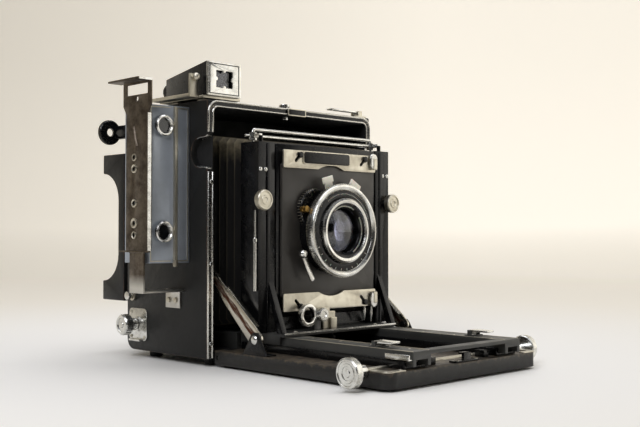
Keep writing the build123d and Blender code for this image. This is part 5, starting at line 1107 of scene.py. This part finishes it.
# %% Screw heads
screws("bracket_screws", "root", [(-91.8, -16.0, 43.0), (-91.8, -7.0, 43.0)], (-1, 0, 0), 1.9, satin_nickel)
screws("trim_screws", "root", [(x, -54.7, z) for x in (-87.2, 87.2) for z in (12.0, 72.0, 134.0)], (0, -1, 0), 1.5,
       bright_chrome, 7)
screws("upright_screws", "standard", [(way * x, -91.2, 142.5) for way in (-1, 1) for x in (64.8, 70.0)], (0, -1, 0),
       1.7, bright_chrome, 9)
screws("winding_plate_screws", "root", [(-91.2, y, z) for y, z in ((26.5, 11.0), (45.0, 11.0), (45.0, 31.0),
                                                                   (26.5, 31.0))], (-1, 0, 0), 1.4, satin_nickel, 2)
screws("base_screws", "standard", [(x, -101.0, 21.4) for x in (-56, -44, 44, 56)], (0, 0, 1), 1.8, satin_nickel, 5)
screws("rail_screws", "rails", [(way * 46.0, y, 18.2) for way in (-1, 1) for y in (-214, -180, -150, -122)], (0, 0, 1),
       1.2, satin_nickel, 6)
screws("bed_screws", "bed", [(x, -226.0, 8.2) for x in (-10.5, 10.5)], (0, 0, 1), 1.5, satin_nickel, 8)
print("screw groups placed")

# %% [markdown]
# **Board furniture.** The upper clip carries a small blank name label, black in a bright rim. Two tapered pins hang
# under the lower clip, and a chromed rod runs down the left upright to the shutter release.

# %% Label, pins and release rod
label = sawn(rounded([(-31.3, 147.6), (20.3, 147.6), (20.3, 158.0), (-31.3, 158.0)], 2.4), [], 0.9,
             Matrix.Translation((0, -0.0959, 0)) @ FRONT_PLANE, 0.25)
put(label, "blank_label_rim", "clip_upper", satin_nickel)
label_field = sawn(rounded([(-30.5, 148.4), (19.5, 148.4), (19.5, 157.2), (-30.5, 157.2)], 1.9), [], 0.5,
                   Matrix.Translation((0, -0.0963, 0)) @ FRONT_PLANE, 0.12)
put(label_field, "blank_label_field", "clip_upper", black_enamel)
pins = [turned([(0, 0), (0.6, 0.3), (1.5, 7.0), (1.3, 9.6), (0.9, 13.0), (0, 13.2)], (x, -92.4, z), "z", 24)
        for x, z in ((40.6, 24.2), (48.8, 22.4))]
put(joined(*pins), "board_pins", "panel", bright_chrome)
for name, body, mid in (("upper", "clip_upper", 153.2), ("lower", "clip_lower", 41.0)):
    curl = sawn(rounded([(42.5, mid - 6.4), (51.0, mid - 6.4), (51.0, mid + 6.4), (42.5, mid + 6.4)], 4.2), [], 2.4,
                Matrix.Translation((0, -0.0972, 0)) @ FRONT_PLANE, 1.1)
    put(curl, name + "_clip_curled_end", body, bright_chrome)
ears = [turned([(0, 83.2), (3.4, 83.2), (3.4, 84.0), (2.6, 84.9), (1.2, 85.4), (0, 85.5)], (0, -100.0, 18.2), axis, 36)
        for axis in ("x", "-x")]
put(joined(*ears), "strut_pivot_rivets", "bed", bright_chrome)
rod = turned([(0, 52.0), (1.2, 52.4), (1.2, 88.0), (1.6, 88.6), (1.6, 91.0), (0.7, 92.0), (0.7, 112.0), (0, 112.0)],
             (-73.6, -89.0, 0), "z", 24)
put(rod, "release_rod", "standard", bright_chrome)
guides = [drawn([(way * 62.0, -90.9, 22.0), (way * 62.0, -90.9, 162.0)], [(-1.9, 0), (-1.9, 0.9), (1.9, 0.9), (1.9, 0)],
                (0, -1, 0)) for way in (-1, 1)]
put(settled(joined(*guides), *broken_edges(0.25)), "upright_guide_strips", "standard", black_enamel)
baffle = sawn(rounded([(-86.0, 201.8), (-59.0, 201.8), (-59.0, 223.0), (-86.0, 223.0)], 1.0), [], 0.6,
              Matrix.Translation((0, -0.0466, 0)) @ FRONT_PLANE, 0.1)
put(baffle, "finder_baffle", "root", flat_black)
inset_rim = [(-87.0, 200.9), (-58.0, 200.9), (-58.0, 224.3), (-87.0, 224.3)]
inset_hole = [(-86.3, 201.6), (-58.7, 201.6), (-58.7, 223.6), (-86.3, 223.6)]
inset = sawn(inset_rim, [inset_hole], 0.24, Matrix.Translation((0, -0.0521, 0)) @ FRONT_PLANE, 0.05)
put(inset, "finder_plate_inset_line", "root", black_enamel)
print("board furniture made")

# %% [markdown]
# **Lock detail.** The ring lever turns on a knurled nut, with a stepped stop block beside it.

# %% Lock nut and stop block
nut = turned([(0, 103.4), (4.6, 103.4), (5.0, 103.8), (5.0, 106.2), (4.4, 106.8), (2.4, 106.8), (2.0, 106.2), (0, 106.2)],
             (-19.0, 0, 33.0), "-y", 36)
put(joined(nut, knurls(4.95, 26, 0.6, 2.2, 0.6, (-19.0, -105.0, 33.0), "-y", bright_chrome)), "lock_nut", "lock",
    bright_chrome)
blocks = [sawn(rounded([(x0, z0), (x1, z0), (x1, z1), (x0, z1)], 0.8), [], depth,
               Matrix.Translation((0, y * MM, 0)) @ FRONT_PLANE, 0.3)
          for x0, x1, z0, z1, y, depth in ((-14.0, -7.0, 21.2, 37.5, -99.0, 3.0), (-9.0, 0.5, 21.2, 34.5, -97.5, 3.0),
                                           (-7.5, -1.0, 21.2, 30.0, -100.5, 4.0))]
put(joined(*blocks), "lock_stop_block", "standard", satin_nickel)
print("lock detail made")

# %% [markdown]
# **Bed furniture.** The rails are edged with bright strips where they slide. A chromed stop bar rides on the left
# rail's outer side, and thin nickel corner plates protect the bed's front corners.

# %% Rail edges, stop bar and corner plates
edge_section = [(-0.5, -0.15), (0.5, -0.15), (0.4, 0.35), (-0.4, 0.35)]
edge_lines = [drawn([(way * x, -228.0, 18.4), (way * x, -60.0, 18.4)], edge_section, (0, 0, 1))
              for way in (-1, 1) for x in (42.9, 59.1)]
put(joined(*edge_lines), "rail_bright_edges", "rails", satin_nickel)
stop_bar = drawn([(-60.2, -208.0, 13.5), (-60.2, -228.6, 13.5)], [(-0.3, -0.1), (0.6, -0.1), (0.6, 3.9), (-3.2, 3.9),
                                                                  (-3.2, 2.6), (-0.3, 2.6)], (-1, 0, 0))
put(settled(stop_bar, *broken_edges(0.3)), "rail_stop_bar", "rails", bright_chrome)
corner = rounded([(-83.4, -228.4, 5.5), (-66.0, -228.4, 0.8), (-66.0, -223.6, 0.8), (-78.0, -223.6, 2.0),
                  (-78.0, -212.0, 0.8), (-83.4, -212.0, 0.8)], 1.0, 5)
plates = [sawn([(way * x, y) for x, y in corner], [], 0.9, Matrix.Translation((0, 0, 7.2 * MM)), 0.2)
          for way in (1, -1)]
put(joined(*plates), "bed_corner_plates", "bed", satin_nickel)
screws("corner_plate_screws", "bed", [(way * x, y, 7.6) for way in (-1, 1) for x, y in ((69.0, -226.0),
                                                                                        (80.8, -215.0))],
       (0, 0, 1), 1.2, satin_nickel, 11)
base_line = drawn([(-61.0, -108.2, 21.2), (61.0, -108.2, 21.2)], [(-0.7, -0.2), (0.7, -0.2), (0.6, 0.5), (-0.6, 0.5)],
                  (0, -1, 0))
put(base_line, "base_bright_edge", "standard", bright_chrome)
print("bed furniture made")

# %% [markdown]
# # The studio
# The floor is one pale sheet that turns up into a wall all round, slightly creamier further out. It glows with
# painted light, weaker to the left and stronger to the right and far behind. On the side of the viewer it is coloured
# dark grey, painted shade for the unlit studio behind the viewer, so that black enamel stays black.

# %% Floor
floor_paper, tree, shader = finish("pale_seamless_paper", "studio", "#f2efe8", 0.0, 0.75)
place = add(tree, "ShaderNodeTexCoord").outputs["Object"]
radius = add(tree, "ShaderNodeVectorMath", {0: place}, operation="LENGTH").outputs["Value"]
deep = add(tree, "ShaderNodeVectorMath", {0: place, 1: (0.702, 0.712, 0)}, operation="DOT_PRODUCT")
deep = deep.outputs["Value"]
sideways = add(tree, "ShaderNodeVectorMath", {0: place, 1: (0.712, -0.702, 0)}, operation="DOT_PRODUCT")
fade = add(tree, "ShaderNodeMapRange", {"Value": radius, "From Min": 0.15, "From Max": 0.8},
           interpolation_type="SMOOTHSTEP")
near_tone = add(tree, "ShaderNodeMix", {0: fade.outputs[0], 6: paint("#f3f1ec"), 7: paint("#efe9dc")},
                data_type="RGBA")
# Painted shade: the floor on the viewer's side is coloured dark grey for the unlit studio behind the viewer.
painted_studio_shade = add(tree, "ShaderNodeMapRange", {"Value": deep, "From Min": -0.75, "From Max": -1.3})
tone = add(tree, "ShaderNodeMix", {0: painted_studio_shade.outputs[0], 6: near_tone.outputs[2], 7: paint("#262524")},
           data_type="RGBA")
# Painted light: the paper glows, weaker to the left and close in, stronger to the right and further back and out.
behind = add(tree, "ShaderNodeMapRange", {"Value": deep, "From Min": -0.4, "From Max": 2.2, "To Min": 0.0,
                                          "To Max": 0.6})
across = add(tree, "ShaderNodeMapRange", {"Value": sideways.outputs["Value"], "From Min": -1.2, "From Max": 0.5,
                                          "To Min": 0.5, "To Max": 1.0})
far = add(tree, "ShaderNodeMapRange", {"Value": radius, "From Min": 0.4, "From Max": 2.4})
painted_backdrop_glow = add(tree, "ShaderNodeMath", {0: behind.outputs[0], 1: across.outputs[0]}, operation="MULTIPLY")
painted_backdrop_glow = add(tree, "ShaderNodeMath", {0: painted_backdrop_glow.outputs[0], 1: far.outputs[0]}, operation="MULTIPLY")
tree.links.new(tone.outputs[2], shader.inputs["Base Color"])
tree.links.new(painted_backdrop_glow.outputs[0], shader.inputs["Emission Strength"])
shader.inputs["Emission Color"].default_value = paint("#fff9ee")
FLOOR_Z = -5.5
dish = [(0, FLOOR_Z), (600, FLOOR_Z), (1600, FLOOR_Z), (2400, 120), (3000, 700), (3200, 1600), (3210, 2600)]
floor_mesh = turned(dish + [(3230, 2600), (3230, -30), (0, -30)], (0, 0, 0), "z", 96)
floor_mesh.materials.append(floor_paper)
floor_mesh.shade_smooth()
floor_mesh.set_sharp_from_angle(angle=radians(60))
studio_floor = bpy.data.objects.new("studio_floor", floor_mesh)
bpy.context.scene.collection.objects.link(studio_floor)
print("floor at z =", FLOOR_Z, "mm")

# %% Lights and sky
sky = bpy.data.worlds.new("even_sky")
bpy.context.scene.world = sky
sky.use_nodes = True
sky.node_tree.nodes["Background"].inputs[0].default_value = paint("#f3f5fa")
sky.node_tree.nodes["Background"].inputs[1].default_value = 0.2
softboxes = [("window_light", (-1.2, -0.5, 1.2), 0.9, 13.0, "#f6f8ff"),
             ("top_cloth", (0.2, 0.2, 1.5), 1.4, 13.0, "#fbfbff"),
             ("right_fill", (1.1, -1.15, 0.62), 1.4, 6.0, "#fffdf8")]
for name, spot, size, power, colour in softboxes:
    data = bpy.data.lights.new(name, "AREA")
    data.size = size
    data.energy = power
    data.color = paint(colour)[:3]
    lamp = bpy.data.objects.new(name, data)
    lamp.location = spot
    lamp.rotation_euler = (Vector((0, 0, 0.1)) - Vector(spot)).to_track_quat("-Z", "Y").to_euler()
    bpy.context.scene.collection.objects.link(lamp)
print("softboxes:", len(softboxes))
